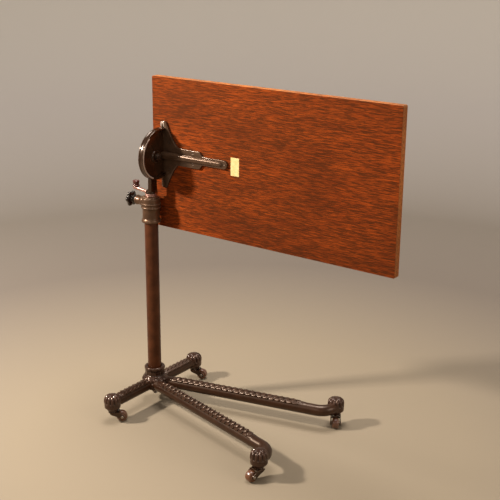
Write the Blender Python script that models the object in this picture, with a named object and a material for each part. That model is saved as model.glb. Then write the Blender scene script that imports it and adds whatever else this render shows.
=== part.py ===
"""Tilting reading table: castered iron base, telescopic column, friction tilt head, wooden board.

Units are metres and +Z is up. The pieces are modelled round the column's axis: +X runs from the
column towards the board's far end, +Y is the side that the reading face looks to at rest, and z = 0
is the floor. At the end the whole table is shifted so that the origin is under its middle.
"""
import math

import bmesh
import bpy
from mathutils import Matrix, Vector

# Clearances and small rounds
GAP = 0.0003              # between pieces that touch
MERGE = GAP / 100         # points nearer than this are one
OVERRUN = 0.0020          # how far a cutter or a joined piece runs past a face
BEAD_R = 0.0013           # rounds and beads on the turned iron pieces

# Column tube and the hub that holds it
TUBE_R = 0.0192
TUBE_WALL = 0.0022
TUBE_BORE_R = TUBE_R - TUBE_WALL
HUB_WALL = 0.0088
HUB_FLARE = 0.0060        # how far the skirt stands out past the boss
HUB_BOSS_R = TUBE_R + HUB_WALL
HUB_SKIRT_R = HUB_BOSS_R + HUB_FLARE
HUB_FOOT_H = 0.0050
HUB_BOTTOM_Z = 0.0380
HUB_FLOOR_T = 0.0140
HUB_SHOULDER_H = 0.0045
HUB_STEP_Z = 0.0760
HUB_TOP_Z = 0.1065
TUBE_FOOT_Z = HUB_BOTTOM_Z + HUB_FLOOR_T
STUD_R = 0.0060
STUD_PROUD = 0.0062       # below the foot nut
PLUG_H = 0.0340
FOOT_NUT_ACROSS = 0.0190
FOOT_NUT_H = 0.0100
FOOT_WASHER_R = 0.0118
FOOT_WASHER_T = 0.0022

# Legs and heads
BAR_W = 0.0280
BAR_H = 0.0280
BAR_Z = 0.0535            # middle height of the legs
LEG_START_Y = 0.0110      # where a long leg's line crosses x = 0
LEG_SPLAY = math.radians(13.7)
LEG_STRAIGHT_X = 0.4720   # a long leg is straight up to here, then bends outward
LONG_HEAD_X = 0.5056
LONG_HEAD_Y = 0.1818
SHORT_HEAD_Y = 0.1784
HEAD_R = 0.0228
HEAD_BOTTOM_Z = 0.0330
HEAD_H = 0.0470
FLUTE_DEPTH = 0.0024
FLUTES = 12
LEAF_PITCH = 0.0175
LEAF_H = 0.0062
ROPE_MARGIN = 0.0016      # plain bar after the last leaf
ROPE_START = HUB_SKIRT_R + OVERRUN
SHORT_ROPE_END = SHORT_HEAD_Y - HEAD_R - ROPE_MARGIN
LONG_ROPE_END = LEG_STRAIGHT_X - ROPE_MARGIN
LEAF_RIM_ANGLE = math.radians(25.0)  # a leaf's rim lies this far above the bar's side
LEAF_STATION_SHARES = (0.0, 0.85)    # sections of a leaf, along its length
LEAF_ROOT_SHARE = 0.25               # height of a leaf's root, of its tip's
LEAF_NARROWING_SHARE = 0.55          # how much narrower than its root a leaf is at its tip
# Radius, height and depth of flute up a head
HEAD_SHARES = ((0.78, 0.00, 0.0), (0.92, 0.05, 0.0), (0.92, 0.42, 0.0), (1.00, 0.51, 0.5),
               (0.99, 0.64, 1.0), (0.86, 0.82, 1.0), (0.56, 0.96, 0.8), (0.20, 1.00, 0.2))

# Casters
WHEEL_R = 0.0155
WHEEL_W = 0.0205
WHEEL_EDGE = 0.0029       # height of the wheel's rounded edge
WHEEL_HUB_R = 0.0070
AXLE_R = 0.0025
AXLE_HEAD_R = 0.0042
AXLE_HEAD_TOP_R = 0.0029
AXLE_HEAD_T = 0.0014
TRAIL = 0.0250            # from the swivel's axis to the wheel's
TRAIL_ANGLES = {"front": -104.0, "right": -58.0, "near": 46.0, "back": 26.0}
FORK_PLATE_T = 0.0034
FORK_SIDE_PLAY = 0.0007
FORK_TREAD_PLAY = 0.0014
FORK_CROWN_R = 0.0112
FORK_EYE_R = 0.0065
STEM_R = 0.0042
STEM_L = 0.0273
SOCKET_WALL = 0.0021
SOCKET_R = STEM_R + GAP + SOCKET_WALL
SOCKET_H = 0.0290

# Inner post, and the head's stem with the nut that keeps it in the post
POST_R = 0.0125
POST_WALL = 0.0020
POST_LEDGE_H = 0.0500     # length of the narrow bore at the post's top
STOP_H = 0.0120
HEAD_STEM_R = 0.0085
THREAD_R = 0.0060
STEM_NUT_ACROSS = 0.0150
STEM_NUT_H = 0.0080

# Clamp collar and its bush
COLLAR_TOP_Z = 0.6120
POST_FOOT_CLEARANCE = 0.0787  # between the plug and the inner post
POST_L = COLLAR_TOP_Z - (TUBE_FOOT_Z + GAP + PLUG_H) - POST_FOOT_CLEARANCE
COLLAR_H = 0.0725
COLLAR_UPPER_H = 0.0350   # from the column's top up
COLLAR_WALL = 0.0070
SLEEVE_WALL = 0.0047
FLANGE_WALL = 0.0077
FLANGE_H = 0.0100
COLLAR_R = TUBE_R + COLLAR_WALL
SLEEVE_R = TUBE_R + SLEEVE_WALL
FLANGE_R = TUBE_R + FLANGE_WALL
FLANGE_Z = COLLAR_TOP_Z - COLLAR_H
TUBE_TOP_Z = COLLAR_TOP_Z - COLLAR_UPPER_H
BUSH_WALL = 0.0030
BUSH_R = POST_R + GAP + BUSH_WALL

# Clamp screw, pad and knob; they lie along -X from the column's axis
CLAMP_DROP = 0.0175       # below the collar's top
CLAMP_Z = COLLAR_TOP_Z - CLAMP_DROP
CLAMP_BOSS_R = 0.0140
CLAMP_BOSS_L = 0.0238
CLAMP_BOSS_END = COLLAR_R + CLAMP_BOSS_L
CLAMP_SCREW_R = 0.0052
PAD_L = 0.0060
KNOB_CLEARANCE = 0.0110   # between the boss and the knob
KNOB_START = CLAMP_BOSS_END + KNOB_CLEARANCE
KNOB_NECK_L = 0.0060
KNOB_T = 0.0095
KNOB_DISC_START = KNOB_START + KNOB_NECK_L
KNOB_DISC_END = KNOB_DISC_START + KNOB_T
KNOB_R = 0.0225
KNOB_LOBES = 6
KNOB_LOBE_DEPTH = 0.0040
KNOB_HUB_R = 0.0090
KNOB_CAP_R = 0.0068
KNOB_SECTION_SHARES = ((0.62, 0.0), (0.90, 0.06), (1.0, 0.30), (1.0, 0.70), (0.90, 0.94), (0.62, 1.0))

# Lock ring with lever and grip; the lever's sizes start at the ring
RING_WALL = 0.0070
RING_R = HEAD_STEM_R + RING_WALL
RING_H = 0.0085
LEVER_W = 0.0085
LEVER_T = 0.0056
LEVER_CHAMFER = 0.0012
LEVER_RISE = 0.0105
LEVER_REACH = 0.0592      # from the axis to the grip's middle
LEVER_SPREAD_SHARE = 0.35  # how much wider the lever is at its end
LEVER_RUN_SHARES = ((0.0, 0.0), (0.10, 0.30), (0.25, 0.55), (0.55, 0.80), (0.85, 1.0), (1.0, 1.0))
GRIP_R = 0.0085
GRIP_H = 0.0172
GRIP_STUD_R = 0.0020
GRIP_STUD_L = 0.0126
GRIP_SHARES = ((0.88, 0.0), (1.0, 0.08), (1.0, 0.18), (0.86, 0.30), (0.84, 0.55), (0.95, 0.85),
               (0.97, 0.95), (0.80, 1.0))

# Head casting
HEAD_FOOT_R = 0.0145
HEAD_FOOT_H = 0.0065
CHEEK_X0 = 0.0010
CHEEK_T = 0.0125
CHEEK_X1 = CHEEK_X0 + CHEEK_T
CHEEK_HALF_W = 0.0130
CHEEK_WAIST_HALF_W = 0.0120
CHEEK_WAIST_H = 0.0400    # above the foot
CHEEK_EYE_R = 0.0200
EYE_PAD_R = 0.0144
EYE_PAD_H = 0.0039
PIVOT_RISE = 0.1140       # above the collar's top
PIVOT_R = 0.0050
PIVOT_NUT_ACROSS = 0.0170
PIVOT_HEAD_T = 0.0050
PIVOT_NUT_T = 0.0065
SPRING_WASHER_R = 0.0088
SPRING_WASHER_T = 0.0014
FRICTION_R = 0.0180
FRICTION_T = 0.0011

# Tilt bracket; its outline is measured from the pivot
DISC_R = 0.0640
DISC_SWELL_SHARE = 0.29    # how much further out the rim is where the upper wing starts
SWELL_END = math.radians(66.0)  # and how far that is round from the board's side
RIM_T = 0.0055
RIM_W = 0.0180
RIM_X0 = CHEEK_X1 + GAP
RIM_X1 = RIM_X0 + RIM_W
WEB_SET_IN = 0.0042
WEB_T = 0.0045
WEB_X0 = RIM_X0 + WEB_SET_IN
WEB_X1 = WEB_X0 + WEB_T
BOSS_R = 0.0160
BOSS_L = 0.0103
BOSS_X0 = CHEEK_X1 + GAP + FRICTION_T + GAP
BOSS_X1 = BOSS_X0 + BOSS_L
PLATE_T = 0.0062
BOARD_Y = 0.0377          # pivot to the board's underside
PLATE_BACK_Y = BOARD_Y - GAP
PLATE_FRONT_Y = PLATE_BACK_Y - PLATE_T
WING_H = 0.0950
WING_X0 = 0.0093
WING_TIP_W = 0.0197
WING_TIP_X = WING_X0 + WING_TIP_W
WING_CORNER = 0.0050
WING_FOOT_X = 0.0680      # where the wing's curved edge meets the arm
WING_EDGE_SHARES = ((0.10, 0.76), (0.24, 0.51), (0.54, 0.20), (0.74, 0.07))
ARM_END_X = 0.2385
ARM_STEP_X = 0.1420
ARM_STEP_L = 0.0180
ARM_HALF_W = 0.0240
ARM_NARROW_HALF_W = 0.0115
ARM_STEP_SHARES = ((0.30, 0.10), (0.67, 0.72))
ARM_CORNER_R = 0.0069
RIB_H = 0.0150
RIB_W = 0.0165
RIB_END_H = 0.0045
RIB_END_W = 0.0080
RIB_MARGIN = 0.0151       # from the rib's end to the arm's
WING_RIB_T = 0.0040
WING_RIB_H = 0.0080
WING_RIB_MARGIN = 0.0067  # from the rib's end to the wing's tip
WING_RIB_SLOPE_L = 0.0090

# Board and its screws
BOARD_L = 0.7620
BOARD_W = 0.4170
BOARD_T = 0.0200
BOARD_X0 = -0.0205
BOARD_RISE = 0.0020       # board's middle above the pivot
BOARD_CORNER_R = 0.0050
BOARD_EDGE = 0.0012
SCREW_R = 0.0022
SCREW_HEAD_R = 0.0042
SCREW_HEAD_T = 0.0030
SCREW_L = 0.0160
WING_SCREW_X = 0.0420
WING_SCREW_Z = 0.0360
ARM_SCREW_X = 0.1250
ARM_SCREW_Z = 0.0150
END_SCREW_MARGIN = 0.0076

# Sides and steps
ROUND = 24
SMALL_ROUND = 12
DISC_ROUND = 36
WHEEL_ROUND = 20
HEXAGON = 6
LEG_SIDES = 10
BEND_STEPS = 8
CORNER_STEPS = 4
EYE_STEPS = 18
RIB_STEPS = 6
SMOOTH_ANGLE = math.radians(35.0)
BEVEL_ANGLE = math.radians(40.0)


def material(name, colour, roughness, metallic):
    """One Principled material for one sub-part."""
    made = bpy.data.materials.new(name)
    made.use_nodes = True
    shader = made.node_tree.nodes["Principled BSDF"]
    shader.inputs["Base Color"].default_value = (*colour, 1.0)
    shader.inputs["Roughness"].default_value = roughness
    shader.inputs["Metallic"].default_value = metallic
    return made


IRON = ((0.055, 0.028, 0.020), 0.35, 0.85)
STEEL = ((0.32, 0.28, 0.25), 0.30, 1.0)
BRASS = ((0.60, 0.40, 0.16), 0.35, 1.0)
BLACK = ((0.012, 0.012, 0.012), 0.35, 0.0)
MAROON = ((0.110, 0.020, 0.018), 0.35, 0.0)
WALNUT = ((0.200, 0.075, 0.030), 0.35, 0.0)
MAHOGANY = ((0.270, 0.070, 0.030), 0.40, 0.0)
FIBRE = ((0.090, 0.040, 0.025), 0.90, 0.0)


def finish_mesh(name, bm, finish=None):
    """Turn a bmesh into an object with outward faces; without a finish it is a hidden cutter."""
    bmesh.ops.remove_doubles(bm, verts=bm.verts, dist=MERGE)
    bmesh.ops.recalc_face_normals(bm, faces=bm.faces)
    mesh = bpy.data.meshes.new(name)
    bm.to_mesh(mesh)
    bm.free()
    mesh.shade_smooth()
    mesh.set_sharp_from_angle(angle=SMOOTH_ANGLE)
    piece = bpy.data.objects.new(name, mesh)
    bpy.context.scene.collection.objects.link(piece)
    if finish is None:
        piece.hide_render = True
        piece.display_type = "WIRE"
    else:
        mesh.materials.append(material(name, *finish))
    return piece


def empty(name, location, parent=None):
    """An empty that marks a joint's axis and carries the pieces that move with it."""
    marker = bpy.data.objects.new(name, None)
    marker.location = location
    marker.parent = parent
    bpy.context.scene.collection.objects.link(marker)
    return marker


def place(parent, *pieces):
    """Hang pieces on a joint's empty."""
    for piece in pieces:
        piece.parent = parent


def turned(profile, axis="Z", sides=ROUND, closed=False, centre=(0.0, 0.0, 0.0)):
    """Spin a profile of (radius, height) points about an axis.

    A closed profile gives a ring. An open one starts and ends on the axis.
    """
    bm = bmesh.new()
    points = [bm.verts.new((radius, 0.0, height)) for radius, height in profile]
    edges = [bm.edges.new(pair) for pair in zip(points, points[1:])]
    if closed:
        edges.append(bm.edges.new((points[-1], points[0])))
    bmesh.ops.spin(bm, geom=points + edges, cent=(0.0, 0.0, 0.0), axis=(0.0, 0.0, 1.0),
                   angle=math.tau, steps=sides, use_merge=True, use_duplicate=False)
    bmesh.ops.remove_doubles(bm, verts=bm.verts, dist=MERGE)
    if axis == "X":
        bm.transform(Matrix.Rotation(math.pi / 2, 4, "Y"))
    elif axis == "Y":
        bm.transform(Matrix.Rotation(-math.pi / 2, 4, "X"))
    bm.transform(Matrix.Translation(Vector(centre)))
    return bm


def rod(radius, start, end, axis="Z", sides=ROUND, centre=(0.0, 0.0, 0.0)):
    """A plain round bar from start to end along an axis."""
    return turned([(0.0, start), (radius, start), (radius, end), (0.0, end)], axis, sides, False, centre)


def sleeve(inner, outer, start, end, axis="Z", sides=ROUND, centre=(0.0, 0.0, 0.0)):
    """A plain round tube from start to end along an axis."""
    ring = [(inner, start), (outer, start), (outer, end), (inner, end)]
    return turned(ring, axis, sides, True, centre)


def hexagon(across, start, end, axis="Z", centre=(0.0, 0.0, 0.0)):
    """A nut blank or bolt head of a given width across flats."""
    return rod(across / math.sqrt(3.0), start, end, axis, HEXAGON, centre)


def arc(centre, radius, start, end, steps):
    """Points of a circular arc in a plane, angles in degrees."""
    points = []
    for step in range(steps + 1):
        angle = math.radians(start + (end - start) * step / steps)
        points.append((centre[0] + radius * math.cos(angle), centre[1] + radius * math.sin(angle)))
    return points


def slab(outline, low, high, normal="Y"):
    """Extrude a flat outline from low to high along its normal.

    The outline's two numbers are the other two coordinates, in X, Y, Z order.
    """
    bm = bmesh.new()
    order = {"X": lambda a, b: (low, a, b), "Y": lambda a, b: (a, low, b), "Z": lambda a, b: (a, b, low)}
    face = bm.faces.new([bm.verts.new(order[normal](a, b)) for a, b in outline])
    grown = bmesh.ops.extrude_face_region(bm, geom=[face])
    far_side = [part for part in grown["geom"] if isinstance(part, bmesh.types.BMVert)]
    step = {"X": (high - low, 0.0, 0.0), "Y": (0.0, high - low, 0.0), "Z": (0.0, 0.0, high - low)}
    bmesh.ops.translate(bm, vec=step[normal], verts=far_side)
    return bm


def skin(rings):
    """Bridge a list of rings of points into one closed body with flat ends."""
    bm = bmesh.new()
    loops = [[bm.verts.new(point) for point in ring] for ring in rings]
    count = len(loops[0])
    for one, two in zip(loops, loops[1:]):
        for side in range(count):
            following = (side + 1) % count
            bm.faces.new((one[side], one[following], two[following], two[side]))
    bm.faces.new(loops[0])
    bm.faces.new(loops[-1])
    return bm


def combine(piece, operation, *others):
    """Join or cut a piece with hidden helper bodies by Boolean modifiers."""
    for number, bm in enumerate(others):
        helper = finish_mesh("%s_%s_%d" % (piece.name, operation.lower(), number), bm)
        helper.parent = piece
        change = piece.modifiers.new("%s %d" % (operation.title(), number), "BOOLEAN")
        change.operation = operation
        change.solver = "EXACT"
        change.object = helper


def join(piece, *others):
    """Fuse helper bodies with a piece."""
    combine(piece, "UNION", *others)


def cut(piece, *others):
    """Take helper bodies out of a piece."""
    combine(piece, "DIFFERENCE", *others)


def leaf_height(share, side_share):
    """Height of the leaf rope over the bar, as a share of LEAF_H.

    share runs from 0 to 1 along one leaf, side_share from 0 on the crest to 1 at the leaf's rim.
    The leaf climbs towards its tip, where it is narrow, and drops to the root of the next leaf.
    """
    climb = LEAF_ROOT_SHARE + (1.0 - LEAF_ROOT_SHARE) * share
    width = 1.0 - LEAF_NARROWING_SHARE * share * share
    return max(0.0, climb * (1.0 - (side_share / width) ** 2))


def leg_ring(centre, heading, share=None):
    """Section of a leg, square to its heading: an oval bar with the leaf rope on its top.

    share says how far along its leaf the section lies; without it the bar is plain.
    """
    across = Vector((-math.sin(heading), math.cos(heading), 0.0))
    ring = []
    for number in range(LEG_SIDES):
        angle = math.tau * (number + 0.5) / LEG_SIDES
        lift = 0.0
        if share is not None and math.sin(angle) > 0.0:
            lift = leaf_height(share, abs(math.cos(angle)) / math.cos(LEAF_RIM_ANGLE)) * LEAF_H
        ring.append(centre + across * (BAR_W / 2 * math.cos(angle))
                    + Vector((0.0, 0.0, BAR_H / 2 * math.sin(angle) + lift)))
    return ring


def rope_stations(start, end):
    """Distances along a leg, and how far along its own leaf each one lies."""
    count = round((end - start) / LEAF_PITCH)
    pitch = (end - start) / count
    stations = []
    for leaf in range(count):
        for share in LEAF_STATION_SHARES:
            stations.append((start + pitch * (leaf + share), share))
    return stations


def short_arm(side):
    """Short arm from the hub to a head on the y axis; side is -1 or +1."""
    heading = math.pi / 2 * side
    rings = [leg_ring(Vector((0.0, 0.0, BAR_Z)), heading)]
    for distance, share in rope_stations(ROPE_START, SHORT_ROPE_END):
        rings.append(leg_ring(Vector((0.0, side * distance, BAR_Z)), heading, share))
    for distance in (SHORT_ROPE_END, SHORT_HEAD_Y):
        rings.append(leg_ring(Vector((0.0, side * distance, BAR_Z)), heading))
    return skin(rings)


def long_leg(side):
    """Long leg: straight and splayed, then bent outward on an arc into its head."""
    slope = math.tan(LEG_SPLAY)

    def on_line(x):
        return Vector((x, side * (LEG_START_Y + slope * x), BAR_Z))

    rings = [leg_ring(on_line(0.0), side * LEG_SPLAY)]
    for x, share in rope_stations(ROPE_START, LONG_ROPE_END):
        rings.append(leg_ring(on_line(x), side * LEG_SPLAY, share))
    start = on_line(LEG_STRAIGHT_X)
    run_x = LONG_HEAD_X - start.x
    run_y = LONG_HEAD_Y - abs(start.y)
    turn = 2 * (math.atan2(run_y, run_x) - LEG_SPLAY)
    radius = math.hypot(run_x, run_y) / (2 * math.sin(turn / 2))
    for step in range(BEND_STEPS + 1):
        bend = LEG_SPLAY + turn * step / BEND_STEPS
        x = start.x + radius * (math.sin(bend) - math.sin(LEG_SPLAY))
        y = abs(start.y) + radius * (math.cos(LEG_SPLAY) - math.cos(bend))
        rings.append(leg_ring(Vector((x, side * y, BAR_Z)), side * bend))
    return skin(rings)


def fluted_head(x, y):
    """Head at a leg's end: a drum whose domed top swells between flutes like a melon."""
    rings = []
    for radius_share, height_share, flute_share in HEAD_SHARES:
        ring = []
        for number in range(2 * FLUTES):
            angle = math.pi * number / FLUTES
            radius = HEAD_R * radius_share - FLUTE_DEPTH * flute_share * (number % 2)
            ring.append((x + radius * math.cos(angle), y + radius * math.sin(angle),
                         HEAD_BOTTOM_Z + HEAD_H * height_share))
        rings.append(ring)
    return skin(rings)


def feet():
    """Name and place of the four castered heads."""
    return (("near", 0.0, -SHORT_HEAD_Y), ("back", 0.0, SHORT_HEAD_Y),
            ("front", LONG_HEAD_X, -LONG_HEAD_Y), ("right", LONG_HEAD_X, LONG_HEAD_Y))


def base_casting(root):
    """Hub, two short arms, two long legs and four heads, cast in one."""
    bar_top = BAR_Z + BAR_H / 2
    hub = turned([
        (0.0, HUB_BOTTOM_Z), (HUB_BOSS_R, HUB_BOTTOM_Z), (HUB_SKIRT_R, HUB_BOTTOM_Z + HUB_FOOT_H),
        (HUB_SKIRT_R, bar_top), (HUB_SKIRT_R - BEAD_R / 2, HUB_STEP_Z - HUB_SHOULDER_H),
        (HUB_BOSS_R + BEAD_R, HUB_STEP_Z), (HUB_BOSS_R, HUB_STEP_Z + 2 * BEAD_R),
        (HUB_BOSS_R, HUB_TOP_Z - 4 * BEAD_R), (HUB_BOSS_R + BEAD_R, HUB_TOP_Z - 3 * BEAD_R),
        (HUB_BOSS_R + BEAD_R, HUB_TOP_Z - BEAD_R), (HUB_BOSS_R, HUB_TOP_Z), (0.0, HUB_TOP_Z)])
    casting = finish_mesh("base_casting", hub, IRON)
    join(casting, short_arm(-1), short_arm(1), long_leg(-1), long_leg(1))
    join(casting, *[fluted_head(x, y) for _, x, y in feet()])
    cut(casting, rod(TUBE_R + GAP, TUBE_FOOT_Z, HUB_TOP_Z + OVERRUN),
        rod(STUD_R + GAP, HUB_BOTTOM_Z - OVERRUN, TUBE_FOOT_Z + OVERRUN, sides=SMALL_ROUND))
    for _, x, y in feet():
        cut(casting, rod(SOCKET_R + GAP, HEAD_BOTTOM_Z - OVERRUN, HEAD_BOTTOM_Z + SOCKET_H + GAP,
                         sides=SMALL_ROUND, centre=(x, y, 0.0)))
    place(root, casting)


def column(root):
    """Column tube with the plug, stud, washer and nut that hold it in the hub."""
    seat_z = TUBE_FOOT_Z + GAP
    tube = finish_mesh("column_tube", sleeve(TUBE_BORE_R, TUBE_R, seat_z, TUBE_TOP_Z), IRON)
    washer_top = HUB_BOTTOM_Z - GAP
    nut_top = washer_top - FOOT_WASHER_T - GAP
    nut_low = nut_top - FOOT_NUT_H
    stud_end = nut_low - STUD_PROUD
    plug_r = TUBE_BORE_R - GAP
    plug = turned([
        (0.0, stud_end), (STUD_R - BEAD_R, stud_end), (STUD_R, stud_end + BEAD_R), (STUD_R, seat_z),
        (plug_r, seat_z), (plug_r, seat_z + PLUG_H), (0.0, seat_z + PLUG_H)])
    plug = finish_mesh("column_plug", plug, STEEL)
    washer = sleeve(STUD_R + GAP, FOOT_WASHER_R, washer_top - FOOT_WASHER_T, washer_top, sides=SMALL_ROUND)
    washer = finish_mesh("foot_washer", washer, STEEL)
    nut = finish_mesh("foot_nut", hexagon(FOOT_NUT_ACROSS, nut_low, nut_top), IRON)
    cut(nut, rod(STUD_R + GAP, nut_low - OVERRUN, nut_top + OVERRUN, sides=SMALL_ROUND))
    place(root, tube, plug, washer, nut)


def clamp_collar(root):
    """Collar on the column's top: flange, sleeve, beaded body and the boss for the clamp screw."""
    bore_r = TUBE_R + GAP
    counterbore_r = BUSH_R + GAP
    flange_top = FLANGE_Z + FLANGE_H
    body = turned([
        (bore_r, FLANGE_Z), (FLANGE_R - BEAD_R, FLANGE_Z), (FLANGE_R, FLANGE_Z + BEAD_R),
        (FLANGE_R, flange_top - 2 * BEAD_R), (SLEEVE_R + BEAD_R, flange_top - BEAD_R), (SLEEVE_R, flange_top),
        (SLEEVE_R, TUBE_TOP_Z), (COLLAR_R, TUBE_TOP_Z + 2 * BEAD_R),
        (COLLAR_R + BEAD_R, TUBE_TOP_Z + 4 * BEAD_R), (COLLAR_R, TUBE_TOP_Z + 6 * BEAD_R),
        (COLLAR_R, CLAMP_Z - 4 * BEAD_R),
        (COLLAR_R + BEAD_R, CLAMP_Z - 2 * BEAD_R), (COLLAR_R, CLAMP_Z), (COLLAR_R, COLLAR_TOP_Z - 3 * BEAD_R),
        (COLLAR_R - BEAD_R, COLLAR_TOP_Z - BEAD_R), (COLLAR_R - 3 * BEAD_R, COLLAR_TOP_Z),
        (counterbore_r, COLLAR_TOP_Z), (counterbore_r, TUBE_TOP_Z + GAP), (bore_r, TUBE_TOP_Z + GAP)],
        closed=True)
    collar = finish_mesh("clamp_collar", body, IRON)
    boss = turned([(0.0, -CLAMP_BOSS_END), (CLAMP_BOSS_R - BEAD_R, -CLAMP_BOSS_END),
                   (CLAMP_BOSS_R, -CLAMP_BOSS_END + BEAD_R), (CLAMP_BOSS_R, -COLLAR_R + OVERRUN),
                   (0.0, -COLLAR_R + OVERRUN)], "X", centre=(0.0, 0.0, CLAMP_Z))
    join(collar, boss)
    at_clamp = (0.0, 0.0, CLAMP_Z)
    bush = finish_mesh("guide_bush", sleeve(POST_R + GAP, BUSH_R, TUBE_TOP_Z + 2 * GAP, COLLAR_TOP_Z), BRASS)
    for piece, far in ((collar, CLAMP_BOSS_END), (bush, BUSH_R)):
        cut(piece, rod(CLAMP_SCREW_R + GAP, -far - OVERRUN, -POST_R + OVERRUN, "X", SMALL_ROUND, at_clamp))
    place(root, collar, bush)


def lobed_disc(low, high):
    """Knob disc along -x: a round-edged disc whose rim waves in lobes."""
    sides = 6 * KNOB_LOBES
    rings = []
    for radius_share, x_share in KNOB_SECTION_SHARES:
        ring = []
        for number in range(sides):
            angle = math.tau * number / sides
            dip = KNOB_LOBE_DEPTH * (1.0 - math.cos(KNOB_LOBES * angle)) / 2
            radius = radius_share * (KNOB_R - dip)
            ring.append((-low - (high - low) * x_share, radius * math.cos(angle), radius * math.sin(angle)))
        rings.append(ring)
    return skin(rings)


def clamp(root):
    """Clamp screw and knob, with the brass pad that the screw presses on the post."""
    travel = empty("clamp_travel", (0.0, 0.0, CLAMP_Z), root)
    turn = empty("clamp_turn", (0.0, 0.0, 0.0), travel)
    pad_start = POST_R + GAP
    pad_end = pad_start + PAD_L
    pad_r = CLAMP_SCREW_R - BEAD_R
    pad = finish_mesh("clamp_pad", rod(pad_r, -pad_end, -pad_start, "X", SMALL_ROUND), BRASS)
    tip = pad_end + GAP
    screw_end = KNOB_DISC_END - 2 * BEAD_R
    screw = turned([(0.0, -screw_end), (CLAMP_SCREW_R, -screw_end), (CLAMP_SCREW_R, -tip - BEAD_R),
                    (pad_r, -tip), (0.0, -tip)], "X", SMALL_ROUND)
    knob = finish_mesh("clamp_knob", lobed_disc(KNOB_DISC_START, KNOB_DISC_END), BLACK)
    neck_end = KNOB_DISC_START + OVERRUN
    neck = turned([(0.0, -neck_end), (KNOB_HUB_R, -neck_end), (KNOB_HUB_R, -KNOB_START - BEAD_R),
                   (KNOB_HUB_R - BEAD_R, -KNOB_START), (0.0, -KNOB_START)], "X")
    cap_top = KNOB_DISC_END + OVERRUN
    cap_root = KNOB_DISC_END - OVERRUN
    cap = turned([(0.0, -cap_top), (KNOB_CAP_R - BEAD_R, -cap_top), (KNOB_CAP_R, -cap_top + BEAD_R),
                  (KNOB_CAP_R, -cap_root), (0.0, -cap_root)], "X", SMALL_ROUND)
    join(knob, neck, cap)
    cut(knob, rod(CLAMP_SCREW_R + GAP, -screw_end - GAP, -KNOB_START + OVERRUN, "X", SMALL_ROUND))
    place(travel, pad)
    place(turn, finish_mesh("clamp_screw", screw, STEEL), knob)


def post(root):
    """Inner post that slides in the column, with the ring that stops it at the top of its travel."""
    slide = empty("post_height", (0.0, 0.0, COLLAR_TOP_Z), root)
    groove_r = POST_R - GAP
    groove_top = STOP_H + GAP - POST_L
    bore_r = POST_R - POST_WALL
    ledge_r = HEAD_STEM_R + GAP
    tube = turned([
        (bore_r, -POST_L), (groove_r, -POST_L), (groove_r, groove_top), (POST_R, groove_top), (POST_R, 0.0),
        (ledge_r, 0.0), (ledge_r, -POST_LEDGE_H), (bore_r, -POST_LEDGE_H)], closed=True)
    ring = sleeve(POST_R, TUBE_BORE_R - GAP, -POST_L, STOP_H - POST_L, sides=ROUND)
    place(slide, finish_mesh("inner_post", tube, STEEL), finish_mesh("post_stop_ring", ring, STEEL))
    return slide


def head(slide):
    """Head casting: stem in the post, round foot and the upright cheek that carries the pivot."""
    swivel = empty("head_swivel", (0.0, 0.0, 0.0), slide)
    foot_z = GAP + RING_H + GAP
    foot_top = foot_z + HEAD_FOOT_H
    nut_top = -POST_LEDGE_H - GAP
    stem_end = nut_top - STEM_NUT_H - 2 * GAP
    shoulder_z = nut_top + GAP
    stem = turned([
        (0.0, stem_end), (THREAD_R, stem_end), (THREAD_R, shoulder_z), (HEAD_STEM_R, shoulder_z),
        (HEAD_STEM_R, foot_z), (HEAD_FOOT_R - BEAD_R, foot_z), (HEAD_FOOT_R, foot_z + BEAD_R),
        (HEAD_FOOT_R, foot_top - BEAD_R), (HEAD_FOOT_R - BEAD_R, foot_top), (0.0, foot_top)])
    casting = finish_mesh("head_casting", stem, IRON)
    low_z = foot_top - BEAD_R
    waist_z = foot_top + CHEEK_WAIST_H
    outline = [(-CHEEK_HALF_W, low_z), (CHEEK_HALF_W, low_z), (CHEEK_WAIST_HALF_W, waist_z)]
    outline += arc((0.0, PIVOT_RISE), CHEEK_EYE_R, -40.0, 220.0, EYE_STEPS)
    outline += [(-CHEEK_WAIST_HALF_W, waist_z)]
    at_pivot = (0.0, 0.0, PIVOT_RISE)
    pad_x = CHEEK_X0 - EYE_PAD_H
    pad_root = CHEEK_X0 + BEAD_R
    pad = turned([(0.0, pad_x), (EYE_PAD_R - BEAD_R, pad_x), (EYE_PAD_R, pad_root), (0.0, pad_root)],
                 "X", centre=at_pivot)
    join(casting, slab(outline, CHEEK_X0, CHEEK_X1, "X"), pad)
    cut(casting, rod(PIVOT_R + GAP, pad_x - OVERRUN, CHEEK_X1 + OVERRUN, "X", SMALL_ROUND, at_pivot))
    stem_nut = finish_mesh("stem_nut", hexagon(STEM_NUT_ACROSS, nut_top - STEM_NUT_H, nut_top), STEEL)
    cut(stem_nut, rod(THREAD_R + GAP, stem_end - OVERRUN, nut_top + OVERRUN, sides=SMALL_ROUND))
    place(swivel, casting, stem_nut)
    pivot_fasteners(swivel, pad_x - GAP, at_pivot)
    return swivel


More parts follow.
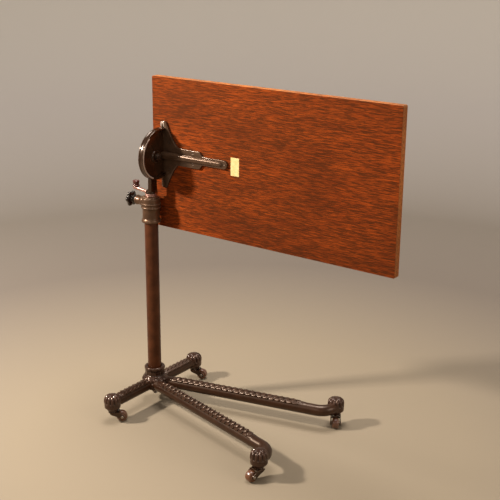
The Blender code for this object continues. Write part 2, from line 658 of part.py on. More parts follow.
def pivot_fasteners(swivel, bolt_seat, at_pivot):
    """Bolt through the cheek and the bracket's boss, with its spring washer and nut."""
    washer_x = BOSS_X1 + GAP
    nut_x = washer_x + SPRING_WASHER_T + GAP
    nut_end = nut_x + PIVOT_NUT_T
    bolt_head = hexagon(PIVOT_NUT_ACROSS, bolt_seat - PIVOT_HEAD_T, bolt_seat, "X", at_pivot)
    bolt = finish_mesh("pivot_bolt", bolt_head, STEEL)
    join(bolt, rod(PIVOT_R, bolt_seat - PIVOT_HEAD_T / 2, nut_end + GAP, "X", SMALL_ROUND, at_pivot))
    washer = sleeve(PIVOT_R + GAP, SPRING_WASHER_R, washer_x, nut_x - GAP, "X", SMALL_ROUND, at_pivot)
    nut = finish_mesh("pivot_nut", hexagon(PIVOT_NUT_ACROSS, nut_x, nut_end, "X", at_pivot), STEEL)
    cut(nut, rod(PIVOT_R + GAP, nut_x - OVERRUN, nut_end + OVERRUN, "X", SMALL_ROUND, at_pivot))
    place(swivel, bolt, finish_mesh("spring_washer", washer, STEEL), nut)


def lever_section(x, z, half_w):
    """Section of the lever across x: a flat bar with chamfered corners."""
    half_t = LEVER_T / 2
    flat_w = half_w - LEVER_CHAMFER
    flat_t = half_t - LEVER_CHAMFER
    corners = ((-flat_w, -half_t), (flat_w, -half_t), (half_w, -flat_t), (half_w, flat_t),
               (flat_w, half_t), (-flat_w, half_t), (-half_w, flat_t), (-half_w, -flat_t))
    return [(x, y, z + height) for y, height in corners]


def lock_lever(swivel):
    """Lock ring threaded on the head's stem, with its lever arm and turned grip."""
    turn = empty("lock_turn", (0.0, 0.0, 0.0), swivel)
    ring_low = GAP
    ring_top = ring_low + RING_H
    bore_r = HEAD_STEM_R + GAP
    ring = turned([(bore_r, ring_low), (RING_R - BEAD_R, ring_low), (RING_R, ring_low + BEAD_R),
                   (RING_R, ring_top - BEAD_R), (RING_R - BEAD_R, ring_top), (bore_r, ring_top)], closed=True)
    lever = finish_mesh("lock_lever", ring, IRON)
    start_x = OVERRUN - RING_R
    end_x = -LEVER_REACH - GRIP_R
    start_z = ring_top - GAP - LEVER_T / 2
    sections = []
    for share, rise_share in LEVER_RUN_SHARES:
        x = start_x + (end_x - start_x) * share
        half_w = LEVER_W / 2 * (1.0 + LEVER_SPREAD_SHARE * share)
        sections.append(lever_section(x, start_z + LEVER_RISE * rise_share, half_w))
    seat_z = start_z + LEVER_RISE + LEVER_T / 2
    stud_top = seat_z + GRIP_STUD_L
    at_grip = (-LEVER_REACH, 0.0, 0.0)
    stud = rod(GRIP_STUD_R, seat_z - LEVER_T / 2, stud_top, sides=SMALL_ROUND, centre=at_grip)
    join(lever, skin(sections), stud)
    low = seat_z + GAP
    stud_bore_r = GRIP_STUD_R + GAP
    profile = [(0.0, stud_top + GAP), (stud_bore_r, stud_top + GAP), (stud_bore_r, low)]
    for radius_share, height_share in GRIP_SHARES:
        profile.append((GRIP_R * radius_share, low + GRIP_H * height_share))
    profile.append((0.0, low + GRIP_H))
    grip = finish_mesh("lever_grip", turned(profile, sides=SMALL_ROUND, centre=at_grip), MAROON)
    place(turn, lever, grip)


def screw_places():
    """Where the wood screws stand on the bracket's plate, as (x, z) from the pivot."""
    return ((WING_SCREW_X, WING_SCREW_Z), (WING_SCREW_X, -WING_SCREW_Z), (ARM_SCREW_X, ARM_SCREW_Z),
            (ARM_SCREW_X, -ARM_SCREW_Z), (ARM_END_X - END_SCREW_MARGIN, 0.0))


def plate_outline():
    """Outline of the bracket's plate: two pointed wings and a long arm that steps to a narrow end."""
    upper = [(WING_X0, WING_H - WING_CORNER), (WING_X0 + WING_CORNER, WING_H), (WING_TIP_X, WING_H)]
    for x_share, z_share in WING_EDGE_SHARES:
        x = WING_TIP_X + (WING_FOOT_X - WING_TIP_X) * x_share
        upper.append((x, ARM_HALF_W + (WING_H - ARM_HALF_W) * z_share))
    upper += [(WING_FOOT_X, ARM_HALF_W), (ARM_STEP_X, ARM_HALF_W)]
    for x_share, z_share in ARM_STEP_SHARES:
        x = ARM_STEP_X + ARM_STEP_L * x_share
        upper.append((x, ARM_HALF_W + (ARM_NARROW_HALF_W - ARM_HALF_W) * z_share))
    upper.append((ARM_STEP_X + ARM_STEP_L, ARM_NARROW_HALF_W))
    corner = (ARM_END_X - ARM_CORNER_R, ARM_NARROW_HALF_W - ARM_CORNER_R)
    upper += arc(corner, ARM_CORNER_R, 90.0, 0.0, CORNER_STEPS)
    return upper + [(x, -z) for x, z in reversed(upper)]


def tapered_rib():
    """Half-round rib along the arm, from the disc to the arm's end, getting lower and thinner."""
    rings = []
    ends = ((WEB_X0 + WEB_T / 2, RIB_H, RIB_W), (ARM_END_X - RIB_MARGIN, RIB_END_H, RIB_END_W))
    for x, height, width in ends:
        ring = []
        for step in range(RIB_STEPS + 1):
            angle = math.pi * step / RIB_STEPS
            ring.append((x, PLATE_FRONT_Y - height * math.sin(angle), width / 2 * math.cos(angle)))
        ring += [(x, PLATE_FRONT_Y + OVERRUN, -width / 2), (x, PLATE_FRONT_Y + OVERRUN, width / 2)]
        rings.append(ring)
    return skin(rings)


def upright_rib():
    """Low rib up the wings, in the plane of the disc's web."""
    end_z = WING_H - WING_RIB_MARGIN
    crest_y = PLATE_FRONT_Y - WING_RIB_H
    root_z = DISC_R - WING_RIB_SLOPE_L
    outline = [(PLATE_FRONT_Y + OVERRUN, -end_z), (PLATE_FRONT_Y + OVERRUN, end_z), (PLATE_FRONT_Y, end_z),
               (crest_y, root_z), (crest_y, -root_z), (PLATE_FRONT_Y, -end_z)]
    return slab(outline, WEB_X0, WEB_X0 + WING_RIB_T, "X")


def swell_rim(disc):
    """Draw the disc's upper rim outward, further and further towards the wing that it runs into."""
    for vertex in disc.verts:
        angle = math.atan2(vertex.co.z, vertex.co.y)
        if angle > 0.0 and math.hypot(vertex.co.y, vertex.co.z) > BOSS_R + 2 * BEAD_R:
            share = min(1.0, (math.pi - angle) / (math.pi - SWELL_END))
            growth = 1.0 + DISC_SWELL_SHARE * share * share
            vertex.co.y *= growth
            vertex.co.z *= growth


def tilt_bracket(tilt):
    """Friction disc, plate, wings, arm and ribs in one casting, screwed to the board's underside."""
    inner_r = DISC_R - RIM_T
    disc = turned([
        (0.0, BOSS_X0), (BOSS_R, BOSS_X0), (BOSS_R, WEB_X0), (inner_r, WEB_X0), (inner_r, RIM_X0 + BEAD_R),
        (inner_r + BEAD_R, RIM_X0), (DISC_R - BEAD_R, RIM_X0), (DISC_R, RIM_X0 + BEAD_R),
        (DISC_R, RIM_X1 - BEAD_R), (DISC_R - BEAD_R, RIM_X1), (inner_r + BEAD_R, RIM_X1),
        (inner_r, RIM_X1 - BEAD_R), (inner_r, WEB_X1), (BOSS_R + BEAD_R, WEB_X1), (BOSS_R, BOSS_X1),
        (0.0, BOSS_X1)], "X", sides=DISC_ROUND)
    swell_rim(disc)
    bracket = finish_mesh("tilt_bracket", disc, IRON)
    near = PLATE_FRONT_Y + OVERRUN
    far = DISC_R * (1.0 + DISC_SWELL_SHARE) + OVERRUN
    behind = [(near, -far), (far, -far), (far, far), (near, far)]
    cut(bracket, slab(behind, RIM_X0 - OVERRUN, RIM_X1 + OVERRUN, "X"))
    join(bracket, slab(plate_outline(), PLATE_FRONT_Y, PLATE_BACK_Y), upright_rib(), tapered_rib())
    cut(bracket, rod(PIVOT_R + GAP, BOSS_X0 - OVERRUN, BOSS_X1 + OVERRUN, "X", SMALL_ROUND))
    for x, z in screw_places():
        cut(bracket, turned([
            (0.0, PLATE_FRONT_Y - OVERRUN), (SCREW_HEAD_R + GAP, PLATE_FRONT_Y - OVERRUN),
            (SCREW_HEAD_R + GAP, PLATE_FRONT_Y + GAP), (SCREW_R + GAP, PLATE_FRONT_Y + SCREW_HEAD_T + GAP),
            (SCREW_R + GAP, PLATE_BACK_Y + OVERRUN), (0.0, PLATE_BACK_Y + OVERRUN)],
            "Y", SMALL_ROUND, False, (x, 0.0, z)))
    friction = sleeve(PIVOT_R + GAP, FRICTION_R, CHEEK_X1 + GAP, BOSS_X0 - GAP, "X")
    place(tilt, bracket, finish_mesh("friction_washer", friction, FIBRE))


def board(tilt):
    """Wooden board with blind pilot holes, and the wood screws that hold the bracket to it."""
    left = BOARD_X0 + BOARD_CORNER_R
    right = BOARD_X0 + BOARD_L - BOARD_CORNER_R
    low = BOARD_RISE - BOARD_W / 2 + BOARD_CORNER_R
    high = BOARD_RISE + BOARD_W / 2 - BOARD_CORNER_R
    outline = []
    for number, corner in enumerate(((right, high), (left, high), (left, low), (right, low))):
        outline += arc(corner, BOARD_CORNER_R, 90.0 * number, 90.0 * (number + 1), CORNER_STEPS)
    plank = finish_mesh("reading_board", slab(outline, BOARD_Y, BOARD_Y + BOARD_T), MAHOGANY)
    bevel = plank.modifiers.new("Soft edges", "BEVEL")
    bevel.width = BOARD_EDGE
    bevel.segments = 2
    bevel.limit_method = "ANGLE"
    bevel.angle_limit = BEVEL_ANGLE
    end_y = PLATE_FRONT_Y + SCREW_L
    for number, (x, z) in enumerate(screw_places()):
        cut(plank, rod(SCREW_R + GAP, BOARD_Y - OVERRUN, end_y + GAP, "Y", SMALL_ROUND, (x, 0.0, z)))
        screw = turned([
            (0.0, PLATE_FRONT_Y), (SCREW_HEAD_R, PLATE_FRONT_Y), (SCREW_HEAD_R, PLATE_FRONT_Y + GAP),
            (SCREW_R, PLATE_FRONT_Y + SCREW_HEAD_T), (SCREW_R, end_y - SCREW_R), (0.0, end_y)],
            "Y", SMALL_ROUND, False, (x, 0.0, z))
        place(tilt, finish_mesh("bracket_screw_%d" % (number + 1), screw, STEEL))
    place(tilt, plank)


def fork_outline(top):
    """Side view of a caster fork from its crown to the axle's eye, as (x, z) along the trail."""
    back = TRAIL - FORK_EYE_R / 5
    belly_z = top - FORK_EYE_R
    outline = [(-FORK_CROWN_R, top), (FORK_CROWN_R + BEAD_R, top), (back, WHEEL_R + FORK_EYE_R + BEAD_R)]
    outline += arc((TRAIL, WHEEL_R), FORK_EYE_R, 60.0, -120.0, 8)
    return outline + [(FORK_CROWN_R / 3, belly_z), (2 * BEAD_R - FORK_CROWN_R, belly_z + BEAD_R)]


def caster(root, name, x, y):
    """One caster: socket in the head, fork with its stem, axle and wheel."""
    swivel = empty("caster_%s_swivel" % name, (x, y, 0.0), root)
    swivel.rotation_euler = (0.0, 0.0, math.radians(TRAIL_ANGLES[name]))
    spin = empty("wheel_%s_spin" % name, (TRAIL, 0.0, WHEEL_R), swivel)
    at_axle = (TRAIL, 0.0, WHEEL_R)
    half = WHEEL_W / 2
    inner = half + FORK_SIDE_PLAY
    outer = inner + FORK_PLATE_T
    top = HEAD_BOTTOM_Z - GAP
    fork = finish_mesh("caster_%s_fork" % name, slab(fork_outline(top), -outer, outer), IRON)
    cut(fork, rod(WHEEL_R + FORK_TREAD_PLAY, -inner, inner, "Y", WHEEL_ROUND, at_axle),
        rod(AXLE_R + GAP, -outer - OVERRUN, outer + OVERRUN, "Y", SMALL_ROUND, at_axle))
    join(fork, rod(STEM_R, top - OVERRUN, top + STEM_L, sides=SMALL_ROUND))
    seat = outer + GAP
    end = seat + AXLE_HEAD_T
    axle = turned([
        (0.0, -end), (AXLE_HEAD_TOP_R, -end), (AXLE_HEAD_R, -seat), (AXLE_R, -seat), (AXLE_R, seat),
        (AXLE_HEAD_R, seat), (AXLE_HEAD_TOP_R, end), (0.0, end)], "Y", SMALL_ROUND, False, at_axle)
    side = half - WHEEL_EDGE / 2
    tread = half - WHEEL_EDGE
    shoulder_r = WHEEL_R - WHEEL_EDGE / 2
    wheel = turned([(AXLE_R + GAP, -half), (WHEEL_HUB_R, -half), (shoulder_r, -side), (WHEEL_R, -tread),
                    (WHEEL_R, tread), (shoulder_r, side), (WHEEL_HUB_R, half), (AXLE_R + GAP, half)],
                   "Y", WHEEL_ROUND, True)
    socket = sleeve(STEM_R + GAP, SOCKET_R, HEAD_BOTTOM_Z, HEAD_BOTTOM_Z + SOCKET_H, sides=SMALL_ROUND,
                    centre=(x, y, 0.0))
    place(root, finish_mesh("caster_%s_socket" % name, socket, STEEL))
    place(swivel, fork, finish_mesh("caster_%s_axle" % name, axle, STEEL))
    place(spin, finish_mesh("caster_%s_wheel" % name, wheel, WALNUT))


def centre_on_footprint(root):
    """Shift the table so that its origin lies under the middle of its bounding box."""
    bpy.context.view_layer.update()
    graph = bpy.context.evaluated_depsgraph_get()
    corners = []
    for piece in bpy.context.scene.objects:
        if piece.type == "MESH" and not piece.hide_render:
            seen = piece.evaluated_get(graph)
            corners += [seen.matrix_world @ vertex.co for vertex in seen.data.vertices]
    middle_x = (min(c.x for c in corners) + max(c.x for c in corners)) / 2
    middle_y = (min(c.y for c in corners) + max(c.y for c in corners)) / 2
    root.location = (-middle_x, -middle_y, -min(c.z for c in corners))
    bpy.context.view_layer.update()


def build():
    """Model the whole table."""
    for piece in list(bpy.data.objects):
        bpy.data.objects.remove(piece, do_unlink=True)
    root = empty("reading_table", (0.0, 0.0, 0.0))
    base_casting(root)
    column(root)
    clamp_collar(root)
    clamp(root)
    swivel = head(post(root))
    lock_lever(swivel)
    tilt = empty("board_tilt", (0.0, 0.0, PIVOT_RISE), swivel)
    tilt_bracket(tilt)
    board(tilt)
    for name, x, y in feet():
        caster(root, name, x, y)
    centre_on_footprint(root)


build()
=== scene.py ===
"""Looks of the tilting reading table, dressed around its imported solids.

Every shape is worked out round the column's axis, as in the part's own source: +X runs from the
column towards the board's far end, +Y is the side that the reading face looks to, z = 0 is the floor,
units are metres. piece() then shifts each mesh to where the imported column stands.
"""

import math

import bmesh
import bpy
import numpy as np
from mathutils import Matrix, Vector


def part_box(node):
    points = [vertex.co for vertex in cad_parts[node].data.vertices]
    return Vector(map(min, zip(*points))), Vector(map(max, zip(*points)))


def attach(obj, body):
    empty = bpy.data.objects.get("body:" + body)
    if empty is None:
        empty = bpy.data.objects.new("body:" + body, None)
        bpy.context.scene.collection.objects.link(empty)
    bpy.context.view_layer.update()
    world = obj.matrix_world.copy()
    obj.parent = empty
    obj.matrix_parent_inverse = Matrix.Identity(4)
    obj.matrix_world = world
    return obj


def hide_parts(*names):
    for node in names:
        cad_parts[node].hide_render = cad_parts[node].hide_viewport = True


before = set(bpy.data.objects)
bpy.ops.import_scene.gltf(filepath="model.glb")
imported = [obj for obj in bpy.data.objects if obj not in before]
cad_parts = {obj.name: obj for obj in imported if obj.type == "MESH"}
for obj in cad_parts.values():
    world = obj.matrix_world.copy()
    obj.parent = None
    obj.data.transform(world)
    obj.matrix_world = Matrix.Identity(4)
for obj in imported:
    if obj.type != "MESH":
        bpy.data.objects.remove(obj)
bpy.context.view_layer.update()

column_low, column_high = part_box("column_tube")
AXIS = np.array([(column_low.x + column_high.x) / 2, (column_low.y + column_high.y) / 2, 0.0])

# Smoothness of the shapes
SIDES = 96
FINE_SIDES = 144
SMALL_SIDES = 48
ROUND_STEPS = 5
MERGE = 1e-6
SMOOTH_ANGLE = math.radians(38.0)
GAP = 0.0003              # between parts that fit into each other
WEAR_REACH = 0.0011       # a rounded edge of this radius counts as fully worn

# Column, hub and feet
TUBE_R = 0.0192
TUBE_BORE_R = 0.017
TUBE_FOOT_Z = 0.0523
TUBE_TOP_Z = 0.577
POST_R = 0.0125
POST_BORE_R = 0.0105
POST_L = 0.447
SOCKET_R = 0.0088         # the post's upper end, where the head's stem stands
SOCKET_DEPTH = 0.05
STUD_R = 0.006
HUB_R = 0.028
SKIRT_R = 0.037
HUB_BOTTOM_Z = 0.038
HUB_STEP_Z = 0.076
HUB_TOP_Z = 0.1065
HUB_FLUTES = 12
BAR_R = 0.0158
BAR_Z = 0.0555
LEG_START_Y = 0.011
LEG_SPLAY = math.radians(13.7)
LEG_STRAIGHT_X = 0.475
LONG_HEAD = (0.5056, 0.1818)
SHORT_HEAD_Y = 0.1784
ROPE_START = 0.036
SHORT_ROPE_END = 0.154
LONG_ROPE_END = 0.448
LEAF_PITCH = 0.0175
LEAF_H = 0.0062
LEAF_LENGTH = 1.32        # in pitches, so that each leaf lies over the next one
ROWS_A_LEAF = 18
BEND_STEPS = 28
ROPE_FADE = 1 / 12        # share of the rope in which it rises and runs out
HEAD_R = 0.0236
HEAD_LOW_Z = 0.033
HEAD_H = 0.0488
HEAD_LOBES = 12
LOBE_DEPTH = 0.0034
FEET = (("near", 0.0, -SHORT_HEAD_Y), ("back", 0.0, SHORT_HEAD_Y),
        ("front", LONG_HEAD[0], -LONG_HEAD[1]), ("right", LONG_HEAD[0], LONG_HEAD[1]))

# Casters
WHEEL_R = 0.0155
WHEEL_HALF_W = 0.01025
TRAIL = 0.025
TRAIL_ANGLES = {"front": -104.0, "right": -58.0, "near": 46.0, "back": 26.0}
FORK_INNER_Y = 0.01095
FORK_OUTER_Y = 0.01435
FORK_TOP_Z = 0.0327
CROWN_R = 0.0124
EYE_R = 0.0065
AXLE_R = 0.0025

# Collar, clamp and lock lever
COLLAR_TOP_Z = 0.612
FLANGE_Z = 0.5395
SLEEVE_R = 0.0239
COLLAR_R = 0.0262
FLANGE_R = 0.0269
BORE_R = 0.0158
CLAMP_Z = 0.5945
BOSS_R = 0.014
BOSS_END = 0.05
SCREW_R = 0.0052
THREAD_PITCH = 0.0015
KNOB_START = 0.061
KNOB_BACK = 0.067
KNOB_FRONT = 0.0765
KNOB_R = 0.0225
KNOB_LOBES = 6
KNOB_DIP = 0.004
RING_LOW_Z = 0.6123
RING_R = 0.0155
RING_H = 0.0085
STEM_R = 0.0085
STEM_END_R = 0.006
LEVER_REACH = 0.053
LEVER_Z = 0.6222          # middle of the strap where it leaves the ring
LEVER_RISE = 0.0055
LEVER_HALF_W = 0.0044
LEVER_HALF_T = 0.0043
GRIP_R = 0.0102
GRIP_H = 0.0172

# Head, bracket and board
PIVOT_Z = 0.726
CHEEK_X = (0.001, 0.0135)
FOOT_R = 0.0145
FOOT_LOW_Z = 0.6211
FOOT_TOP_Z = 0.6276
EYE_HALF_W = 0.02
DISC_R = 0.0628
DISC_SWELL = 0.29         # share by which the rim is further out where the upper wing starts
SWELL_END = math.radians(66.0)
RIM_X = (0.0138, 0.0318)
RIM_T = 0.0055
RIM_ARC = (64.0, 304.0)   # degrees round the pivot, from level at the board's side
LIP_HIGHLIGHT_ARC = (122.0, 248.0)  # where a highlight is painted on the rim's rubbed lip
WEB_ARC = (64.0, 303.0)
WEB_X = (0.018, 0.0225)
PIVOT_BOSS_R = 0.016
PIVOT_BOSS_X = (0.0152, 0.0255)
NUT_ACROSS = 0.017
BOLT_R = 0.005
PLATE_Y = (0.0312, 0.0374)
BOARD_Y = 0.0377
BOARD_T = 0.02
BOARD_X = (-0.0205, 0.7415)
BOARD_HALF_W = 0.2085
BOARD_RISE = 0.002
ARM_HALF_W = 0.024
ARM_NARROW = 0.0115
ARM_STEP_X = 0.142
ARM_END_X = 0.2385
WING_H = 0.092
WING_X = (0.0132, 0.0305)
WING_FOOT_X = 0.074
SCREW_PLACES = ((0.042, 0.036), (0.042, -0.036), (0.125, 0.015), (0.125, -0.015), (0.2309, 0.0))
SCREW_HEAD_R = 0.0041
LABEL_X = (0.2475, 0.2745)
LABEL_Z = (0.7, 0.7485)

# Light and surroundings
WARM_TINT = (1.0, 0.77, 0.6)          # old enamel and oiled iron reflect a brownish light
FLOOR_R = 2.3
COVE_R = 1.2
WALL_H = 3.6
CAMERA_YAW = math.radians(-36.2358)
CAMERA_PITCH = math.radians(17.864)
CAMERA_ROLL = math.radians(0.4342)
CAMERA_PLACE = (1.81212317, -2.00949825, 1.32627409)  # from the column's foot
CAMERA_LENS = 72.872
SENSOR_W = 36.0


# Shapes: each is a pair of a point array and a list of faces

def grid_faces(rows, columns, close_rows, close_columns):
    """Quads between neighbouring points of a grid whose point (i, j) has number i * columns + j."""
    row, column = np.meshgrid(np.arange(rows if close_rows else rows - 1),
                              np.arange(columns if close_columns else columns - 1), indexing="ij")
    next_row = (row + 1) % rows
    next_column = (column + 1) % columns
    quads = np.stack([row * columns + column, row * columns + next_column,
                      next_row * columns + next_column, next_row * columns + column], axis=-1)
    return quads.reshape(-1, 4).tolist()


def grid(points, close_rows=False, close_columns=True, caps=False):
    """Surface through a rows x columns array of points; caps close its first and last row."""
    rows, columns = points.shape[:2]
    faces = grid_faces(rows, columns, close_rows, close_columns)
    if caps:
        faces.append(list(range(columns)))
        faces.append(list(range((rows - 1) * columns, rows * columns)))
    return points.reshape(-1, 3), faces


def rounded(corners, radius, steps=ROUND_STEPS, closed=False):
    """Soften each corner P of a line with the curve (1-t)^2 A + 2t(1-t) P + t^2 B.

    A and B lie on the two edges at P, a radius away or at most 45 % of the edge.
    """
    corner = np.asarray(corners, float)
    before = np.roll(corner, 1, axis=0) - corner
    after = np.roll(corner, -1, axis=0) - corner
    length_before = np.linalg.norm(before, axis=1, keepdims=True)
    length_after = np.linalg.norm(after, axis=1, keepdims=True)
    reach = np.broadcast_to(np.asarray(radius, float).reshape(-1, 1), (len(corner), 1))
    start = corner + before * np.minimum(reach / np.maximum(length_before, MERGE), 0.45)
    end = corner + after * np.minimum(reach / np.maximum(length_after, MERGE), 0.45)
    t = np.linspace(0.0, 1.0, steps + 1)[None, :, None]
    curves = (1 - t) ** 2 * start[:, None] + 2 * t * (1 - t) * corner[:, None] + t ** 2 * end[:, None]
    if closed:
        return curves.reshape(-1, corner.shape[1])
    middle = curves[1:-1].reshape(-1, corner.shape[1])
    return np.concatenate([corner[:1], middle, corner[-1:]])


def finer(line, parts):
    """A line with each of its stretches split in equal parts."""
    line = np.asarray(line, float)
    share = np.linspace(0.0, 1.0, parts, endpoint=False)[None, :, None]
    split = line[:-1, None] * (1 - share) + line[1:, None] * share
    return np.concatenate([split.reshape(-1, line.shape[1]), line[-1:]])


def block(one, two, radius, steps=3):
    """Outline of a rectangle with rounded corners, from the range of each coordinate."""
    corners = ((one[0], two[0]), (one[1], two[0]), (one[1], two[1]), (one[0], two[1]))
    return rounded(corners, radius, steps, True)


def spun(radius, height, angle, axis):
    """Points at (radius, angle) round an axis, height along it."""
    one, two = radius * np.cos(angle), radius * np.sin(angle)
    order = {"Z": (one, two, height), "X": (height, one, two), "Y": (two, height, one)}
    return np.stack(np.broadcast_arrays(*order[axis]), axis=-1)


def turned(profile, axis="Z", sides=SIDES, closed=False, relief=None):
    """Surface of revolution P(i, j) = (r_i + relief) at angle 2 pi j / sides, h_i along the axis.

    relief(angle, height, radius) gives lobes and flutes.
    """
    line = np.asarray(profile, float)
    angle = np.linspace(0.0, math.tau, sides, endpoint=False)[None, :]
    radius, height = line[:, 0, None], line[:, 1, None]
    if relief is not None:
        radius = radius + relief(angle, height, radius)
    return grid(spun(radius, height, angle, axis), close_rows=closed)


def swept_arc(section, axis, start, end, steps):
    """A closed section of (radius, height) carried round the axis from start to end degrees."""
    line = np.asarray(section, float)
    angle = np.radians(np.linspace(start, end, steps + 1))[:, None]
    return grid(spun(line[None, :, 0], line[None, :, 1], angle, axis), caps=True)


def plate(outline, low, high, edge, normal="Y", steps=3):
    """Flat casting: outline O with inward normal N; its rows are O + N a at height h.

    (a, h) runs round a quarter circle of radius edge at each face.
    """
    line = np.asarray(outline, float)
    along = np.roll(line, -1, axis=0) - np.roll(line, 1, axis=0)
    along /= np.maximum(np.linalg.norm(along, axis=1, keepdims=True), MERGE)
    area = np.sum(line[:, 0] * np.roll(line[:, 1], -1) - np.roll(line[:, 0], -1) * line[:, 1])
    inward = np.stack([-along[:, 1], along[:, 0]], axis=1) * np.sign(area)
    quarter = np.linspace(0.0, math.pi / 2, steps + 1)
    inset = np.concatenate([edge * (1 - np.sin(quarter)), edge * (1 - np.sin(quarter[::-1]))])
    height = np.concatenate([low + edge * (1 - np.cos(quarter)), high - edge * (1 - np.cos(quarter[::-1]))])
    flat = line[None] + inward[None] * inset[:, None, None]
    level = np.broadcast_to(height[:, None], flat.shape[:2])
    one, two = flat[..., 0], flat[..., 1]
    order = {"X": (level, one, two), "Y": (one, level, two), "Z": (one, two, level)}
    return grid(np.stack(order[normal], axis=-1), caps=True)


def hexagonal(across, low, high, axis):
    """Nut or bolt head: radius across/2 / cos(a), a from the flat's middle, chamfered at 30 degrees."""
    sides = 120
    angle = np.linspace(0.0, math.tau, sides, endpoint=False)
    flat = across / 2
    hexagon = flat / np.cos((angle + math.pi / 6) % (math.pi / 3) - math.pi / 6)
    circle = np.full(sides, flat * 0.97)
    drop = (hexagon - circle) * math.tan(math.radians(30.0))
    radius = np.stack([np.zeros(sides), circle, hexagon, hexagon, circle, np.zeros(sides)])
    height = np.stack([np.full(sides, low), np.full(sides, low), low + drop,
                       high - drop, np.full(sides, high), np.full(sides, high)])
    return grid(spun(radius, height, angle[None, :], axis))


def threaded(radius, low, high, axis, depth=0.0005, pitch=THREAD_PITCH):
    """Screw thread: r = radius - depth |2 frac(h / pitch - angle / 2 pi) - 1|, closed at both ends."""
    rows = max(8, int((high - low) / pitch * 10))
    height = np.linspace(low, high, rows)[:, None]
    angle = np.linspace(0.0, math.tau, SMALL_SIDES, endpoint=False)[None, :]
    wave = np.abs(2 * ((height / pitch - angle / math.tau) % 1.0) - 1)
    body = radius - depth * wave
    ends = np.zeros((1, SMALL_SIDES))
    body = np.concatenate([ends, body, ends])
    height = np.concatenate([height[:1], height, height[-1:]])
    return grid(spun(body, height, angle, axis))


def moved(shape, shift=(0.0, 0.0, 0.0), turn=0.0):
    """A shape turned about the Z axis and then shifted."""
    points, faces = shape
    cos, sin = math.cos(turn), math.sin(turn)
    matrix = np.array([[cos, sin, 0.0], [-sin, cos, 0.0], [0.0, 0.0, 1.0]])
    return points @ matrix + np.array(shift), faces


def raised(height, *shapes):
    """Shapes moved straight up."""
    return [moved(shape, (0.0, 0.0, height)) for shape in shapes]


def mark_wear(mesh):
    """Write the attribute wear: the curvature 2 n.(p - q) / |p - q|^2, averaged over a vertex's edges.

    It is 1 on edges as sharp as WEAR_REACH, 0 on flats and below 0 in hollows.
    """
    count = len(mesh.vertices)
    place = np.empty(count * 3)
    mesh.vertices.foreach_get("co", place)
    place = place.reshape(-1, 3)
    normal = np.empty(count * 3)
    mesh.vertex_normals.foreach_get("vector", normal)
    normal = normal.reshape(-1, 3)
    pairs = np.empty(len(mesh.edges) * 2, int)
    mesh.edges.foreach_get("vertices", pairs)
    one, two = pairs.reshape(-1, 2).T
    step = place[one] - place[two]
    square = np.maximum(np.sum(step * step, axis=1), MERGE ** 2)
    bend = np.zeros(count)
    edges = np.zeros(count)
    np.add.at(bend, one, 2 * np.sum(normal[one] * step, axis=1) / square)
    np.add.at(bend, two, -2 * np.sum(normal[two] * step, axis=1) / square)
    np.add.at(edges, one, 1)
    np.add.at(edges, two, 1)
    wear = np.clip(bend / np.maximum(edges, 1) * WEAR_REACH, -1.0, 1.0)
    mesh.attributes.new("wear", "FLOAT", "POINT").data.foreach_set("value", wear.astype(np.float32))


def surfaced(name, points, faces, finish):
    """A new mesh with its finish."""
    mesh = bpy.data.meshes.new(name)
    mesh.from_pydata(points.tolist(), [], faces)
    mesh.materials.append(finish)
    return mesh


def placed(name, data):
    """A new object in the scene."""
    made = bpy.data.objects.new(name, data)
    bpy.context.scene.collection.objects.link(made)
    return made


def piece(name, shapes, finish, body, nodes):
    """One finished piece of closed shapes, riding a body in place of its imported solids."""
    points, faces, offset = [], [], 0
    for shape_points, shape_faces in shapes:
        points.append(shape_points)
        faces.extend([[number + offset for number in face] for face in shape_faces])
        offset += len(shape_points)
    mesh = surfaced(name, np.concatenate(points) + AXIS, faces, finish)
    bm = bmesh.new()
    bm.from_mesh(mesh)
    bmesh.ops.remove_doubles(bm, verts=bm.verts, dist=MERGE)
    bmesh.ops.recalc_face_normals(bm, faces=bm.faces)
    bm.to_mesh(mesh)
    bm.free()
    mesh.shade_smooth()
    mesh.set_sharp_from_angle(angle=SMOOTH_ANGLE)
    mark_wear(mesh)
    made = placed(name, mesh)
    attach(made, body)
    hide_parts(*nodes)
    return made


# Materials

def feed(tree, node, entries):
    """Link or set a node's inputs; each gets a socket, a number, a vector or a colour."""
    for key, value in entries.items():
        entry = node.inputs[key]
        if isinstance(value, bpy.types.NodeSocket):
            tree.links.new(value, entry)
        else:
            entry.default_value = (*value, 1.0) if entry.type == "RGBA" else value


def add(tree, kind, entries=None, **settings):
    """A new node with its settings and inputs."""
    made = tree.nodes.new(kind)
    for key, value in settings.items():
        setattr(made, key, value)
    feed(tree, made, entries or {})
    return made


def point_of(tree):
    """Place of the shaded point in its piece."""
    return add(tree, "ShaderNodeTexCoord").outputs["Object"]


def wear_of(tree):
    """The attribute that mark_wear writes."""
    return add(tree, "ShaderNodeAttribute", attribute_name="wear").outputs["Fac"]


def noise(tree, vector, scale, detail=2.0, roughness=0.5, distortion=0.0):
    """Value of a noise texture."""
    return add(tree, "ShaderNodeTexNoise", {"Vector": vector, "Scale": scale, "Detail": detail,
                                            "Roughness": roughness, "Distortion": distortion}).outputs["Fac"]


def ramp(tree, source, stops):
    """Colour ramp fed by a value; stops are (place, colour)."""
    made = add(tree, "ShaderNodeValToRGB", {"Fac": source})
    elements = made.color_ramp.elements
    while len(elements) < len(stops):
        elements.new(0.5)
    for element, (place, colour) in zip(elements, stops):
        element.position = place
        element.color = (*colour, 1.0)
    return made.outputs["Color"]


def math_node(tree, operation, *values, clamp=False):
    """Two or three values put through a sum; each is a socket or a number."""
    made = add(tree, "ShaderNodeMath", operation=operation, use_clamp=clamp)
    feed(tree, made, dict(enumerate(values)))
    return made.outputs[0]


